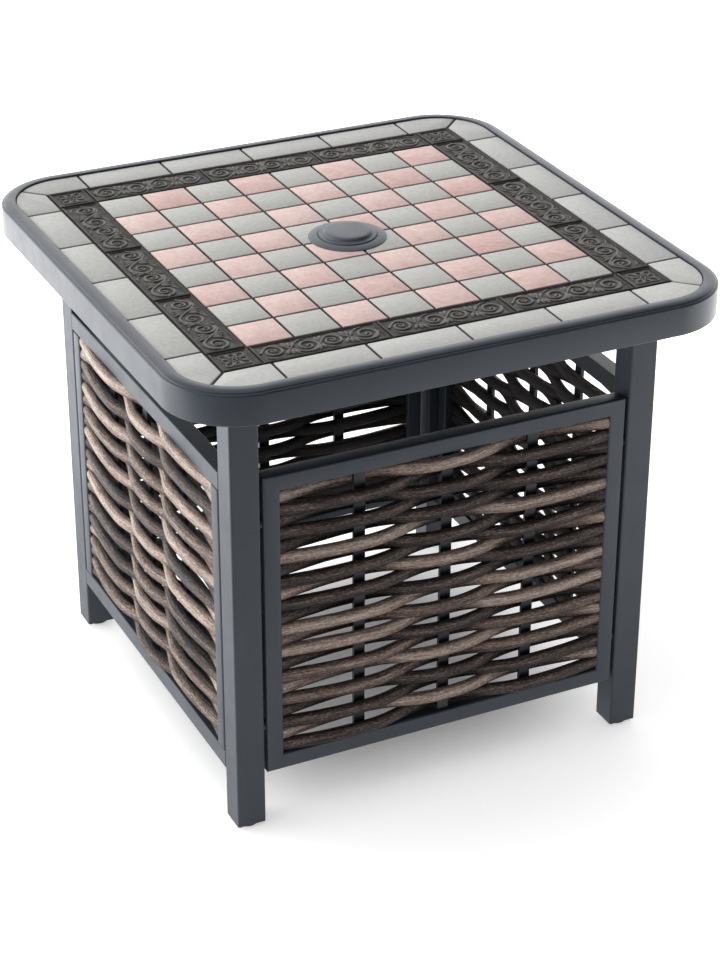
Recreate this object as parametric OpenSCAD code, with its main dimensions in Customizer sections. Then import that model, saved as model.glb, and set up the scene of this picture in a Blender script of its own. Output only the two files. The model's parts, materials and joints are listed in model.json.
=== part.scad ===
// Square patio side table with a tiled top, an umbrella hole and woven side panels.
// Millimetres. The floor is z = 0, the front is -Y, and the table's centre line is the Z axis.

/* [Table top] */
// Outside width and depth of the square top
top_w = 559; // [530:1:700]
// Height of the rim's upper face above the floor
table_h = 497; // [470:1:640]
// Radius of the top's outer corners
corner_r = 72; // [50:1:100]
// Height of the rim from its upper face to its lower edge
skirt_h = 33; // [27:0.5:60]
// Thickness of the rim's sheet metal
sheet_t = 1.5; // [1:0.1:2.5]
// Width of the raised lip round the tiles
lip_w = 10; // [5:0.5:14]
// Height of the lip above the rim's shoulder
lip_h = 2.5; // [1:0.1:4]
// Width of the shoulder between the lip and the rim's face
shoulder_w = 4.5; // [3:0.5:9]
// Height of the lip above the tiles
lip_rise = 1.8; // [0:0.1:3]
// Open seam between the tiles and the lip
tile_seam = 1; // [0.5:0.1:3]
// Thickness of the board that carries the tiles
board_t = 10; // [8:0.5:16]
// Clearance between the board and the rim's sheet
board_gap = 0.5; // [0.2:0.1:2]

/* [Tiles] */
// Number of checker squares along one side
squares_n = 8; // [4:2:10]
// Spacing of the checker squares
square_pitch = 47.25; // [36:0.25:52]
// Width of the relief band round the checker field
band_w = 39; // [30:0.5:45]
// Number of scroll tiles along one side of the relief band
scroll_n = 3; // [1:1:6]
// Spacing of the cross joints in the plain border
border_pitch = 91; // [60:1:120]
// Width of the joints between tiles
joint_w = 1.8; // [1:0.1:3]
// Thickness of the tiles
tile_t = 8; // [6:0.5:10]
// Depth of the joints below the tiles' faces
joint_depth = 0.8; // [0.4:0.1:2]
// Width of the raised bead at each end of a scroll tile
bead_w = 1.6; // [1:0.1:3]
// Height of that bead
bead_h = 0.5; // [0.3:0.1:0.8]

/* [Umbrella hole] */
// Radius of the hole through the tiles and the board
hole_r = 29.5; // [26:0.5:34]
// Outer radius of the ring's flange
flange_r = 38.3; // [36:0.1:44]
// Inner radius of the ring's collar
collar_r = 26; // [22:0.1:30]
// Wall of the ring's collar
collar_t = 2.5; // [1.5:0.1:3.5]
// Height of the flange at its outer edge
flange_edge_h = 0.8; // [0.5:0.1:1.5]
// Height of the flange at the plug's seat
flange_top_h = 2.6; // [2:0.1:4]
// Depth of the plug's seat in the flange
seat_depth = 1.3; // [0.8:0.1:1.8]
// Width of the plug's seat
seat_w = 3.2; // [2:0.1:4]
// Radial clearance round the plug, in its seat and in the collar
plug_gap = 0.5; // [0.3:0.05:1]
// Thickness of the plug's lower disc
plug_disc_t = 2.4; // [1.5:0.1:4]
// Radius of the plug's raised knob at its foot
knob_r = 25; // [18:0.1:27]
// Height of the knob above the plug's disc
knob_h = 3.4; // [2:0.1:8]
// Length of the plug's spigot below its disc
spigot_l = 14; // [8:0.5:18]
// Wall of the plug's spigot
spigot_t = 2; // [1.5:0.1:3]
// Bore radius of the pole guide below the board
pole_r = 25; // [19:0.1:28]
// Wall of the pole guide
pole_t = 2.5; // [1.5:0.1:4]
// Length of the pole guide
pole_l = 37.2; // [22:0.1:60]

/* [Base] */
// Outside width across two legs
base_w = 443; // [400:1:470]
// Width of the square leg tubes
leg_w = 29; // [24:0.5:36]
// Wall of the leg tubes
leg_t = 1.5; // [1:0.1:2.5]
// Corner radius of the leg tubes
leg_r = 2; // [1:0.1:3]
// Height of the foot pads
foot_h = 4; // [2:0.5:12]
// Radius of the foot pads
foot_r = 8.5; // [6:0.5:11]
// Depth of the foot plugs inside the legs
foot_plug_l = 12; // [6:1:25]
// Width of the tubes below the board
brace_w = 20; // [15:0.5:26]
// Height of the tubes below the board
brace_h = 13; // [10:0.5:26]
// Wall of the tubes below the board and of the rails and panel bars
tube_t = 1.2; // [0.8:0.1:2]
// Corner radius of the rails and panel bars
tube_r = 1.5; // [1.3:0.1:3]
// Depth of the rails and panel bars, front to back
bar_depth = 18; // [17:0.5:24]

/* [Side frames] */
// Height of the woven opening's lower edge in the side frames
side_open_z = 74.7; // [60:0.1:120]
// Height of the woven opening in the side frames
side_open_h = 284.5; // [200:0.5:300]
// Height of the upper side rails
side_top_h = 18.5; // [16:0.5:30]
// Height of the lower side rails
side_low_h = 18.8; // [14:0.1:26]
// Width of the infill bars that hold the weave beside the legs
infill_w = 17.5; // [12:0.5:24]
// Seam between the infill bars and the legs
infill_seam = 0.6; // [0.3:0.1:1.5]

/* [Front and back panels] */
// Height of the woven opening's lower edge in the panels
panel_open_z = 77; // [60:0.1:120]
// Height of the woven opening in the panels
panel_open_h = 283.5; // [200:0.5:300]
// Face width of the panel bars
panel_bar_w = 18; // [14:0.5:26]
// Gap between the panels and the legs
panel_gap = 3; // [1.5:0.5:8]
// Radius of the spacers that carry the panels in that gap
spacer_r = 6; // [4:0.5:8]
// Distance of the spacers from the panel's ends
spacer_in = 32; // [15:1:60]

/* [Weave] */
// Number of strands in each woven opening
strand_n = 22; // [12:1:22]
// Thickness of a strand, front to back
strand_t = 9; // [5:0.1:10]
// Distance of the strands' ends behind the outer faces of the bars
weave_inset = 1.5; // [1.5:0.1:4]
// Spacing of the upright straps
strap_pitch = 91; // [80:1:95]
// Width of the straps
strap_w = 11.5; // [8:0.5:14]
// Thickness of the straps
strap_t = 3.6; // [2:0.1:4]
// Clearance between one strand and the next, and between strands and straps
weave_gap = 0.3; // [0.3:0.05:2]
// Rise and fall of a strand along its length
drift = 0.5; // [0:0.1:1]

/* [Hidden] */
$fn = 72;

// Levels of the top, from the rim downwards.
tile_z = table_h - lip_rise;
board_top = tile_z - tile_t;
board_z = board_top - board_t;
leg_top = board_z - brace_h;
skirt_z = table_h - skirt_h;
shoulder_z = table_h - lip_h;
grout_top = tile_z - joint_depth;

// Half widths of the top's squares, from the rim inwards.
rim_half = top_w / 2;
lip_out = rim_half - shoulder_w;
lip_in = lip_out - lip_w;
tile_half = lip_in - tile_seam;
tile_r = corner_r - shoulder_w - lip_w - tile_seam;
hem_t = 2 * sheet_t;
board_half = rim_half - sheet_t - board_gap;
check_half = squares_n * square_pitch / 2;
band_half = check_half + band_w;
border_joints = floor((band_half - 25) / border_pitch);

// The base.
leg_out = base_w / 2;
leg_in = leg_out - leg_w;
leg_mid = leg_out - leg_w / 2;
bar_mid = leg_out - bar_depth / 2;
side_top_z = side_open_z + side_open_h;
panel_top_z = panel_open_z + panel_open_h;
panel_half = leg_in - panel_gap;
panel_open = panel_half - panel_bar_w;
infill_out = leg_in - infill_seam;
side_open = infill_out - infill_w;

// Where the strands bend: over the straps they run level, and between them they cross.
weave_out = leg_out - weave_inset - strand_t / 2;
weave_depth = (strap_t + strand_t) / 2 + weave_gap;
strap_half = strap_w / 2 + 2;
strand_sides = 6;

// Each strand rises and falls this many degrees per millimetre, and this many behind the next.
drift_rate = 1.1;
drift_lag = 20;

module square_round(half, r) {
    square([2 * half, 2 * (half - r)], center = true);
    square([2 * (half - r), 2 * half], center = true);
    for (sx = [-1, 1], sy = [-1, 1])
        translate([sx * (half - r), sy * (half - r)])
            circle(r = r);
}

module box_round(w, h, r) {
    square([w, h - 2 * r], center = true);
    square([w - 2 * r, h], center = true);
    for (sx = [-1, 1], sy = [-1, 1])
        translate([sx * (w / 2 - r), sy * (h / 2 - r)])
            circle(r = r, $fn = 24);
}

module tube_section(w, h, t, r) {
    difference() {
        box_round(w, h, r);
        square([w - 2 * t, h - 2 * t], center = true);
    }
}

// A tube that runs along X, with w across Y and h up Z.
module tube_x(length, w, h, t, r) {
    rotate([90, 0, 90])
        linear_extrude(height = length, center = true)
            tube_section(w, h, t, r);
}

// Sweeps a section round the rounded square of the top; x = 0 is the rim's face.
module round_the_top() {
    for (a = [0 : 90 : 270])
        rotate(a) {
            translate([rim_half - corner_r, rim_half - corner_r])
                rotate_extrude(angle = 90)
                    translate([corner_r, 0])
                        children();
            translate([0, rim_half - corner_r])
                rotate([90, 0, 0])
                    linear_extrude(height = 2 * (rim_half - corner_r))
                        translate([rim_half, 0])
                            children();
        }
}

module apron_section() {
    edge = [for (a = [0 : 30 : 90]) [sheet_t * (cos(a) - 1), shoulder_z + sheet_t * (sin(a) - 1)]];
    polygon(concat([[-hem_t, skirt_z], [0, skirt_z]], edge,
        [[-shoulder_w - lip_w, shoulder_z], [-shoulder_w - lip_w, shoulder_z - sheet_t],
         [-sheet_t, shoulder_z - sheet_t], [-sheet_t, board_z], [-hem_t, board_z]]));
}

module lip_section() {
    edge = lip_h * 0.6;
    out = [for (a = [0 : 30 : 90])
        [-shoulder_w + edge * (cos(a) - 1), table_h + edge * (sin(a) - 1)]];
    in = [for (a = [90 : 30 : 180])
        [-shoulder_w - lip_w + edge * (cos(a) + 1), table_h + edge * (sin(a) - 1)]];
    polygon(concat([[-shoulder_w - lip_w, shoulder_z], [-shoulder_w, shoulder_z]], out, in));
}

module top_apron() {
    color("slategray")
        round_the_top() apron_section();
}

module top_lip() {
    color("slategray")
        round_the_top() lip_section();
}

module hole_cut() {
    circle(r = hole_r);
}

module tile_board() {
    color("tan")
        translate([0, 0, board_z])
            linear_extrude(height = board_t)
                difference() {
                    square_round(board_half, corner_r - sheet_t - board_gap);
                    hole_cut();
                }
}

// One checker square's outline; i and j count from the near left corner.
module square_cell(i, j) {
    translate([(i + 0.5) * square_pitch - check_half, (j + 0.5) * square_pitch - check_half])
        square(square_pitch - joint_w, center = true);
}

module checker(which) {
    difference() {
        for (i = [0 : squares_n - 1], j = [0 : squares_n - 1])
            if ((i + j) % 2 == which)
                square_cell(i, j);
        hole_cut();
    }
}

module corner_cells() {
    mid = check_half + band_w / 2;
    for (sx = [-1, 1], sy = [-1, 1])
        translate([sx * mid, sy * mid])
            square(band_w - joint_w, center = true);
}

module scroll_cells(inset = 0) {
    pitch = 2 * check_half / scroll_n;
    for (a = [0 : 90 : 270], k = [0 : scroll_n - 1])
        rotate(a)
            translate([(k + 0.5) * pitch - check_half, -check_half - band_w / 2])
                square([pitch - joint_w - 2 * inset, band_w - joint_w], center = true);
}

// The plain border: its outline less the joints that cross it and run along the mitres.
module border_cells() {
    reach = 2 * tile_half;
    difference() {
        square_round(tile_half, tile_r);
        square(2 * band_half + joint_w, center = true);
        for (a = [0, 90], k = [-border_joints : border_joints])
            rotate(a)
                translate([k * border_pitch, 0])
                    square([joint_w, reach], center = true);
        for (a = [45, 135])
            rotate(a)
                square([2 * reach, joint_w], center = true);
    }
}

module tile_layer(z, t) {
    translate([0, 0, z])
        linear_extrude(height = t)
            children();
}

module tiles_border() {
    color("silver")
        tile_layer(board_top, tile_t) border_cells();
}

module tiles_scroll() {
    color("dimgray") {
        tile_layer(board_top, tile_t) scroll_cells();
        tile_layer(tile_z, bead_h)
            difference() {
                scroll_cells();
                scroll_cells(bead_w);
            }
    }
}

module tiles_corner() {
    color("dimgray")
        tile_layer(board_top, tile_t) corner_cells();
}

module tiles_pink() {
    color("mistyrose")
        tile_layer(board_top, tile_t) checker(0);
}

module tiles_grey() {
    color("lightgray")
        tile_layer(board_top, tile_t) checker(1);
}

// Fills every joint to just below the tiles' faces.
module grout() {
    color("saddlebrown")
        tile_layer(board_top, grout_top - board_top)
            difference() {
                square_round(tile_half, tile_r);
                hole_cut();
                checker(0);
                checker(1);
                corner_cells();
                scroll_cells();
                border_cells();
            }
}

module hole_ring() {
    seat_r = collar_r + seat_w;
    color("darkslategray")
        translate([0, 0, tile_z])
            rotate_extrude()
                polygon([[collar_r, board_z - tile_z], [collar_r + collar_t, board_z - tile_z],
                    [collar_r + collar_t, 0], [flange_r, 0], [flange_r, flange_edge_h],
                    [seat_r, flange_top_h], [seat_r, flange_top_h - seat_depth],
                    [collar_r, flange_top_h - seat_depth]]);
}

module hole_plug() {
    disc_r = collar_r + seat_w - plug_gap;
    spigot_r = collar_r - plug_gap;
    inner = spigot_r - spigot_t;
    top = plug_disc_t + knob_h;
    color("darkslategray")
        translate([0, 0, tile_z + flange_top_h - seat_depth])
            rotate_extrude()
                polygon([[0, 0], [inner, 0], [inner, -spigot_l], [spigot_r, -spigot_l],
                    [spigot_r, 0], [disc_r, 0], [disc_r, plug_disc_t - 0.5],
                    [disc_r - 0.8, plug_disc_t], [knob_r, plug_disc_t],
                    [knob_r - 0.9, plug_disc_t + knob_h * 0.55],
                    [knob_r - 2.2, plug_disc_t + knob_h * 0.88], [knob_r - 3.8, top],
                    [knob_r - 9, top + 0.2], [0, top + 0.5]]);
}

module pole_guide() {
    color("slategray")
        translate([0, 0, board_z - pole_l])
            difference() {
                cylinder(r = pole_r + pole_t, h = pole_l);
                translate([0, 0, -1])
                    cylinder(r = pole_r, h = pole_l + 2);
            }
}

// The tubes under the board: two run front to back over the legs and meet the rim's hem.
module brace_long(side) {
    color("gray")
        intersection() {
            translate([side * leg_mid, 0, board_z - brace_h / 2])
                rotate(90)
                    tube_x(top_w, brace_w, brace_h, tube_t, tube_r);
            translate([0, 0, leg_top - 1])
                linear_extrude(height = brace_h + 2)
                    square_round(rim_half - hem_t, corner_r - hem_t);
        }
}

module brace_left() { brace_long(-1); }
module brace_right() { brace_long(1); }

module brace_cross(side) {
    color("gray")
        translate([0, side * leg_mid, board_z - brace_h / 2])
            tube_x(2 * leg_mid - brace_w, brace_w, brace_h, tube_t, tube_r);
}

module brace_front() { brace_cross(-1); }
module brace_back() { brace_cross(1); }

module brace_middle() {
    color("gray")
        difference() {
            translate([0, 0, board_z - brace_h / 2])
                tube_x(2 * leg_mid - brace_w, brace_w, brace_h, tube_t, tube_r);
            translate([0, 0, leg_top - 1])
                cylinder(r = pole_r + pole_t, h = brace_h + 2);
        }
}

module leg(sx, sy) {
    color("slategray")
        translate([sx * leg_mid, sy * leg_mid, foot_h])
            linear_extrude(height = leg_top - foot_h)
                tube_section(leg_w, leg_w, leg_t, leg_r);
}

module leg_front_left() { leg(-1, -1); }
module leg_front_right() { leg(1, -1); }
module leg_back_left() { leg(-1, 1); }
module leg_back_right() { leg(1, 1); }

module foot_glides() {
    plug_w = leg_w - 2 * leg_t;
    color("black")
        for (sx = [-1, 1], sy = [-1, 1])
            translate([sx * leg_mid, sy * leg_mid, 0]) {
                cylinder(r1 = foot_r - 0.8, r2 = foot_r, h = foot_h);
                translate([0, 0, foot_h])
                    linear_extrude(height = foot_plug_l)
                        square(plug_w, center = true);
            }
}

// Rails of the side frames run front to back between the legs, flush with their faces.
module side_rail(side, z, h) {
    color("slategray")
        translate([side * bar_mid, 0, z + h / 2])
            rotate(90)
                tube_x(2 * leg_in, bar_depth, h, tube_t, tube_r);
}

module side_infill_bars(side) {
    color("slategray")
        for (end = [-1, 1])
            translate([side * bar_mid, end * (infill_out - infill_w / 2), side_open_z])
                linear_extrude(height = side_open_h)
                    tube_section(bar_depth, infill_w, tube_t, tube_r);
}

module left_top_rail() { side_rail(-1, side_top_z, side_top_h); }
module left_low_rail() { side_rail(-1, side_open_z - side_low_h, side_low_h); }
module left_infill_bars() { side_infill_bars(-1); }
module right_top_rail() { side_rail(1, side_top_z, side_top_h); }
module right_low_rail() { side_rail(1, side_open_z - side_low_h, side_low_h); }
module right_infill_bars() { side_infill_bars(1); }

// Front and back panels: side bars stand between a top and a low bar.
module panel_bar(side, z) {
    color("slategray")
        translate([0, side * bar_mid, z + panel_bar_w / 2])
            tube_x(2 * panel_half, bar_depth, panel_bar_w, tube_t, tube_r);
}

module panel_side_bars(side) {
    color("slategray")
        for (end = [-1, 1])
            translate([end * (panel_half - panel_bar_w / 2), side * bar_mid, panel_open_z])
                linear_extrude(height = panel_open_h)
                    tube_section(panel_bar_w, bar_depth, tube_t, tube_r);
}

module front_top_bar() { panel_bar(-1, panel_top_z); }
module front_low_bar() { panel_bar(-1, panel_open_z - panel_bar_w); }
module front_side_bars() { panel_side_bars(-1); }
module back_top_bar() { panel_bar(1, panel_top_z); }
module back_low_bar() { panel_bar(1, panel_open_z - panel_bar_w); }
module back_side_bars() { panel_side_bars(1); }

module panel_spacers() {
    color("gray")
        for (sy = [-1, 1], sx = [-1, 1], z = [panel_open_z + spacer_in, panel_top_z - spacer_in])
            translate([sx * (panel_half + panel_gap / 2), sy * bar_mid, z])
                rotate([0, 90, 0])
                    cylinder(r = spacer_r, h = panel_gap, center = true);
}

// Turns a form drawn for the front, with its outside towards -Y, to one of the four sides.
module on_side(turn) {
    rotate(turn)
        translate([0, -weave_out, 0])
            children();
}

module straps(turn, z, h) {
    color("dimgray")
        on_side(turn)
            for (k = [-1 : 1])
                translate([k * strap_pitch - strap_w / 2, -strap_t / 2, z])
                    cube([strap_w, strap_t, h]);
}

// How far a strand stands out at x: 1 in front of the middle strap, -1 at its neighbours.
function swing(x, half) =
    abs(x) <= strap_pitch
        ? let (u = max(abs(x) - strap_half, 0) / (strap_pitch - 2 * strap_half))
            cos(180 * min(u, 1))
        : let (v = max(abs(x) - strap_pitch - strap_half, 0) / (half - strap_pitch - strap_half))
            -cos(90 * min(v, 1));

function rise(x, i) = drift * sin(x * drift_rate + i * drift_lag);

// Spacing of the rows in an opening of height h, and the height of a strand that fills a row.
function row_pitch(h) = (h - 2 * drift) / strand_n;
function row_height(h) = row_pitch(h) - weave_gap - 2 * drift * sin(drift_lag / 2);

// Places along a strand where its section is set.
function stations(half) =
    let (bay = strap_pitch - 2 * strap_half, end = half - strap_pitch - strap_half)
    let (right = [strap_half, strap_half + bay / 3, strap_half + bay * 2 / 3,
        strap_pitch - strap_half, strap_pitch + strap_half,
        strap_pitch + strap_half + end / 2, half])
    concat([for (k = [6 : -1 : 0]) -right[k]], right);

function section(x, out, up, tall) =
    [for (k = [0 : strand_sides - 1])
        [x, out + strand_t / 2 * sin(k * 60) / sin(60), up + tall / 2 * cos(k * 60)]];

// One strand: six-sided sections joined along its path, with flat ends at the bars.
module strand(i, half, z, tall) {
    face = i % 2 == 0 ? -1 : 1;
    xs = stations(half);
    n = len(xs);
    m = strand_sides;
    points = [for (x = xs)
        each section(x, face * weave_depth * swing(x, half), z + rise(x, i), tall)];
    walls = [for (s = [0 : n - 2], k = [0 : m - 1])
        let (a = s * m + k, b = s * m + (k + 1) % m)
        each [[a, b, b + m], [a, b + m, a + m]]];
    first = [for (k = [1 : m - 2]) [0, k + 1, k]];
    last = [for (k = [1 : m - 2]) [(n - 1) * m, (n - 1) * m + k, (n - 1) * m + k + 1]];
    polyhedron(points = points, faces = concat(walls, first, last));
}

module strands(turn, half, z, h, parity) {
    top = z + h - drift;
    color(parity == 0 ? "tan" : "saddlebrown")
        on_side(turn)
            for (i = [parity : 2 : strand_n - 1])
                strand(i, half, top - (i + 0.5) * row_pitch(h), row_height(h));
}

module front_straps() { straps(0, panel_open_z, panel_open_h); }
module back_straps() { straps(180, panel_open_z, panel_open_h); }
module left_straps() { straps(-90, side_open_z, side_open_h); }
module right_straps() { straps(90, side_open_z, side_open_h); }

module front_strands_even() { strands(0, panel_open, panel_open_z, panel_open_h, 0); }
module front_strands_odd() { strands(0, panel_open, panel_open_z, panel_open_h, 1); }
module back_strands_even() { strands(180, panel_open, panel_open_z, panel_open_h, 0); }
module back_strands_odd() { strands(180, panel_open, panel_open_z, panel_open_h, 1); }
module left_strands_even() { strands(-90, side_open, side_open_z, side_open_h, 0); }
module left_strands_odd() { strands(-90, side_open, side_open_z, side_open_h, 1); }
module right_strands_even() { strands(90, side_open, side_open_z, side_open_h, 0); }
module right_strands_odd() { strands(90, side_open, side_open_z, side_open_h, 1); }

top_apron();
top_lip();
tile_board();
grout();
tiles_border();
tiles_scroll();
tiles_corner();
tiles_pink();
tiles_grey();
hole_ring();
pole_guide();
hole_plug();
brace_left();
brace_right();
brace_front();
brace_back();
brace_middle();
leg_front_left();
leg_front_right();
leg_back_left();
leg_back_right();
foot_glides();
left_top_rail();
left_low_rail();
left_infill_bars();
left_straps();
left_strands_even();
left_strands_odd();
right_top_rail();
right_low_rail();
right_infill_bars();
right_straps();
right_strands_even();
right_strands_odd();
front_top_bar();
front_low_bar();
front_side_bars();
front_straps();
front_strands_even();
front_strands_odd();
back_top_bar();
back_low_bar();
back_side_bars();
back_straps();
back_strands_even();
back_strands_odd();
panel_spacers();
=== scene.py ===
"""Patio side table with a tiled checker top, an umbrella hole and woven side panels.

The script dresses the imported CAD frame. Lengths are metres unless a name ends in _mm, the floor is
z = 0, the front is -Y and the table's centre line is the Z axis.
"""

import json
import logging
import math
import random
from collections.abc import Iterable, Sequence
from dataclasses import dataclass, field
from enum import Enum

import bmesh
import bpy
from mathutils import Matrix, Vector

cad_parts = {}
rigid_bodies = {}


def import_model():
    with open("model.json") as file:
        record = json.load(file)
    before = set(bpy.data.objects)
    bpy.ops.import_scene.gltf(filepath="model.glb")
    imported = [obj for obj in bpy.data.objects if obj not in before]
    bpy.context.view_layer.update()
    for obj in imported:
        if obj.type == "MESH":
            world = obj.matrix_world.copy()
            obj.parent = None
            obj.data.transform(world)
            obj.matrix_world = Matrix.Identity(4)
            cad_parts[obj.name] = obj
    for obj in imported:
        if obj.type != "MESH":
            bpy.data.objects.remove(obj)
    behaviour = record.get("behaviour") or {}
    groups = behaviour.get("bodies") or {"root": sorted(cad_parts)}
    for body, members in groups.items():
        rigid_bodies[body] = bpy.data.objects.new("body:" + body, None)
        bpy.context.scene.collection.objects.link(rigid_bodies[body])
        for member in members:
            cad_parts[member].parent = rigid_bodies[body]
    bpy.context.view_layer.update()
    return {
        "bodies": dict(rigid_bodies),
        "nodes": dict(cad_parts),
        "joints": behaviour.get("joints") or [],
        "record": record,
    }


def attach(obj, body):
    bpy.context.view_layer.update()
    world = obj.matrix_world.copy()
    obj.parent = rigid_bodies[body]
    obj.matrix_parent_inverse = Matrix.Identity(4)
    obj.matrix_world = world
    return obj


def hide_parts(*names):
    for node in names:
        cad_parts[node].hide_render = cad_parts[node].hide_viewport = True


LOG = logging.getLogger("side_table")
MM = 0.001

# Heights over the floor that several pieces share
RIM_TOP_MM = 497.0
TILE_TOP_MM = 495.2
BOARD_LOW_MM = 477.2

# Distance of the bars' outer faces from the table's centre planes
BAR_FACE_MM = 221.5

# A strand's section, at its fullest
STRAND_HEIGHT_MM = 13.2
STRAND_THICK_MM = 10.0

# Lengths in metres that differ by less than this are the same
TINY = 1e-6

# Nearly all values of a noise lie between these
NOISE_LOW = 0.3
NOISE_HIGH = 0.7

Colour = tuple[float, float, float, float]
Point = tuple[float, float]
Stroke = list[tuple[float, float, float]]
Socket = bpy.types.NodeSocket


class Body(Enum):
    """The bodies of the frame that pieces ride on."""

    TABLE = "table"
    PLUG = "plug"


class Side(Enum):
    """The four sides of the table, by the turn that brings the front to them."""

    FRONT = 0
    RIGHT = 90
    BACK = 180
    LEFT = -90

    @property
    def word(self) -> str:
        """The side's name in the CAD nodes."""
        return self.name.lower()

    @property
    def turn(self) -> Matrix:
        """The turn about the centre line that brings the front to this side."""
        return Matrix.Rotation(math.radians(self.value), 4, "Z")

    def place(self, x_mm: float, y_mm: float, z_mm: float) -> Vector:
        """A point given for the front, brought to this side."""
        return self.turn @ (Vector((x_mm, y_mm, z_mm)) * MM)


class Parity(Enum):
    """Every second strand passes in front of the middle strap, the others behind it."""

    EVEN = 0
    ODD = 1


class Tone(Enum):
    """How light the resin of a strand is."""

    DARK = "D"
    MID = "M"
    LIGHT = "L"

    @property
    def level(self) -> float:
        """The tone as a place on the resin's colour ramp."""
        return {Tone.DARK: 0.44, Tone.MID: 0.68, Tone.LIGHT: 0.93}[self]


def srgb(red: int, green: int, blue: int) -> Colour:
    """Turns an 8-bit screen colour into linear light.

    Args:
        red: Red from 0 to 255.
        green: Green from 0 to 255.
        blue: Blue from 0 to 255.

    Returns:
        The linear colour, opaque.
    """
    def lin(value: int) -> float:
        """One channel in linear light."""
        share = value / 255
        return share / 12.92 if share <= 0.04045 else ((share + 0.055) / 1.055) ** 2.4

    return lin(red), lin(green), lin(blue), 1.0


def scaled(colour: Colour, times: float) -> Colour:
    """A colour made darker or lighter."""
    return tuple(min(channel * times, 1.0) for channel in colour[:3]) + (1.0,)


# Node trees


class Graph:
    """A node tree with short ways to add nodes and join them."""

    def __init__(self, tree: bpy.types.NodeTree) -> None:
        """Takes the tree that the nodes go into."""
        self.tree = tree

    def add(self, kind: str, inputs: dict | None = None, **settings: object) -> bpy.types.Node:
        """Adds a node.

        Args:
            kind: The node's type name.
            inputs: Values or sockets by input name or number.
            **settings: The node's own properties.

        Returns:
            The new node.
        """
        node = self.tree.nodes.new(kind)
        for key, value in settings.items():
            setattr(node, key, value)
        for key, value in (inputs or {}).items():
            if isinstance(value, Socket):
                self.tree.links.new(value, node.inputs[key])
            else:
                node.inputs[key].default_value = value
        return node

    def math(self, operation: str, *values: object) -> Socket:
        """The result of one math node on numbers or sockets."""
        inputs = dict(enumerate(values))
        return self.add("ShaderNodeMath", inputs, operation=operation).outputs[0]

    def vector(self, operation: str, *values: object) -> Socket:
        """The vector that one vector math node makes of vectors or sockets."""
        inputs = dict(zip((0, "Scale") if operation == "SCALE" else (0, 1), values))
        return self.add("ShaderNodeVectorMath", inputs, operation=operation).outputs[0]

    def combine(self, x: object, y: object, z: object) -> Socket:
        """A vector from three numbers or sockets."""
        return self.add("ShaderNodeCombineXYZ", {0: x, 1: y, 2: z}).outputs[0]

    def along(self, way: Socket, aim: Sequence[float]) -> Socket:
        """How far one direction runs along another, from -1 to 1."""
        inputs = {0: way, 1: aim}
        return self.add("ShaderNodeVectorMath", inputs, operation="DOT_PRODUCT").outputs["Value"]

    def split(self, vector: Socket) -> Sequence[Socket]:
        """The three numbers of a vector."""
        return self.add("ShaderNodeSeparateXYZ", {0: vector}).outputs

    def noise(self, vector: Socket, scale: float, detail: float = 3.0, rough: float = 0.5,
              warp: float = 0.0) -> Socket:
        """Smooth noise.

        Args:
            vector: Where it is read.
            scale: Features per metre, roughly.
            detail: Octaves.
            rough: Weight of the finer octaves.
            warp: Distortion.

        Returns:
            The noise, from 0 to 1.
        """
        inputs = {"Vector": vector, "Scale": scale, "Detail": detail, "Roughness": rough,
                  "Distortion": warp}
        return self.add("ShaderNodeTexNoise", inputs).outputs[0]

    def spread(self, value: Socket, low: float, high: float, to_low: float,
               to_high: float) -> Socket:
        """Maps low..high to to_low..to_high, clamped.

        Args:
            value: The number to map.
            low: Start of its range.
            high: End of its range.
            to_low: Result at the start.
            to_high: Result at the end.

        Returns:
            The mapped number.
        """
        inputs = {"Value": value, "From Min": low, "From Max": high, "To Min": to_low,
                  "To Max": to_high}
        return self.add("ShaderNodeMapRange", inputs).outputs[0]


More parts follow.
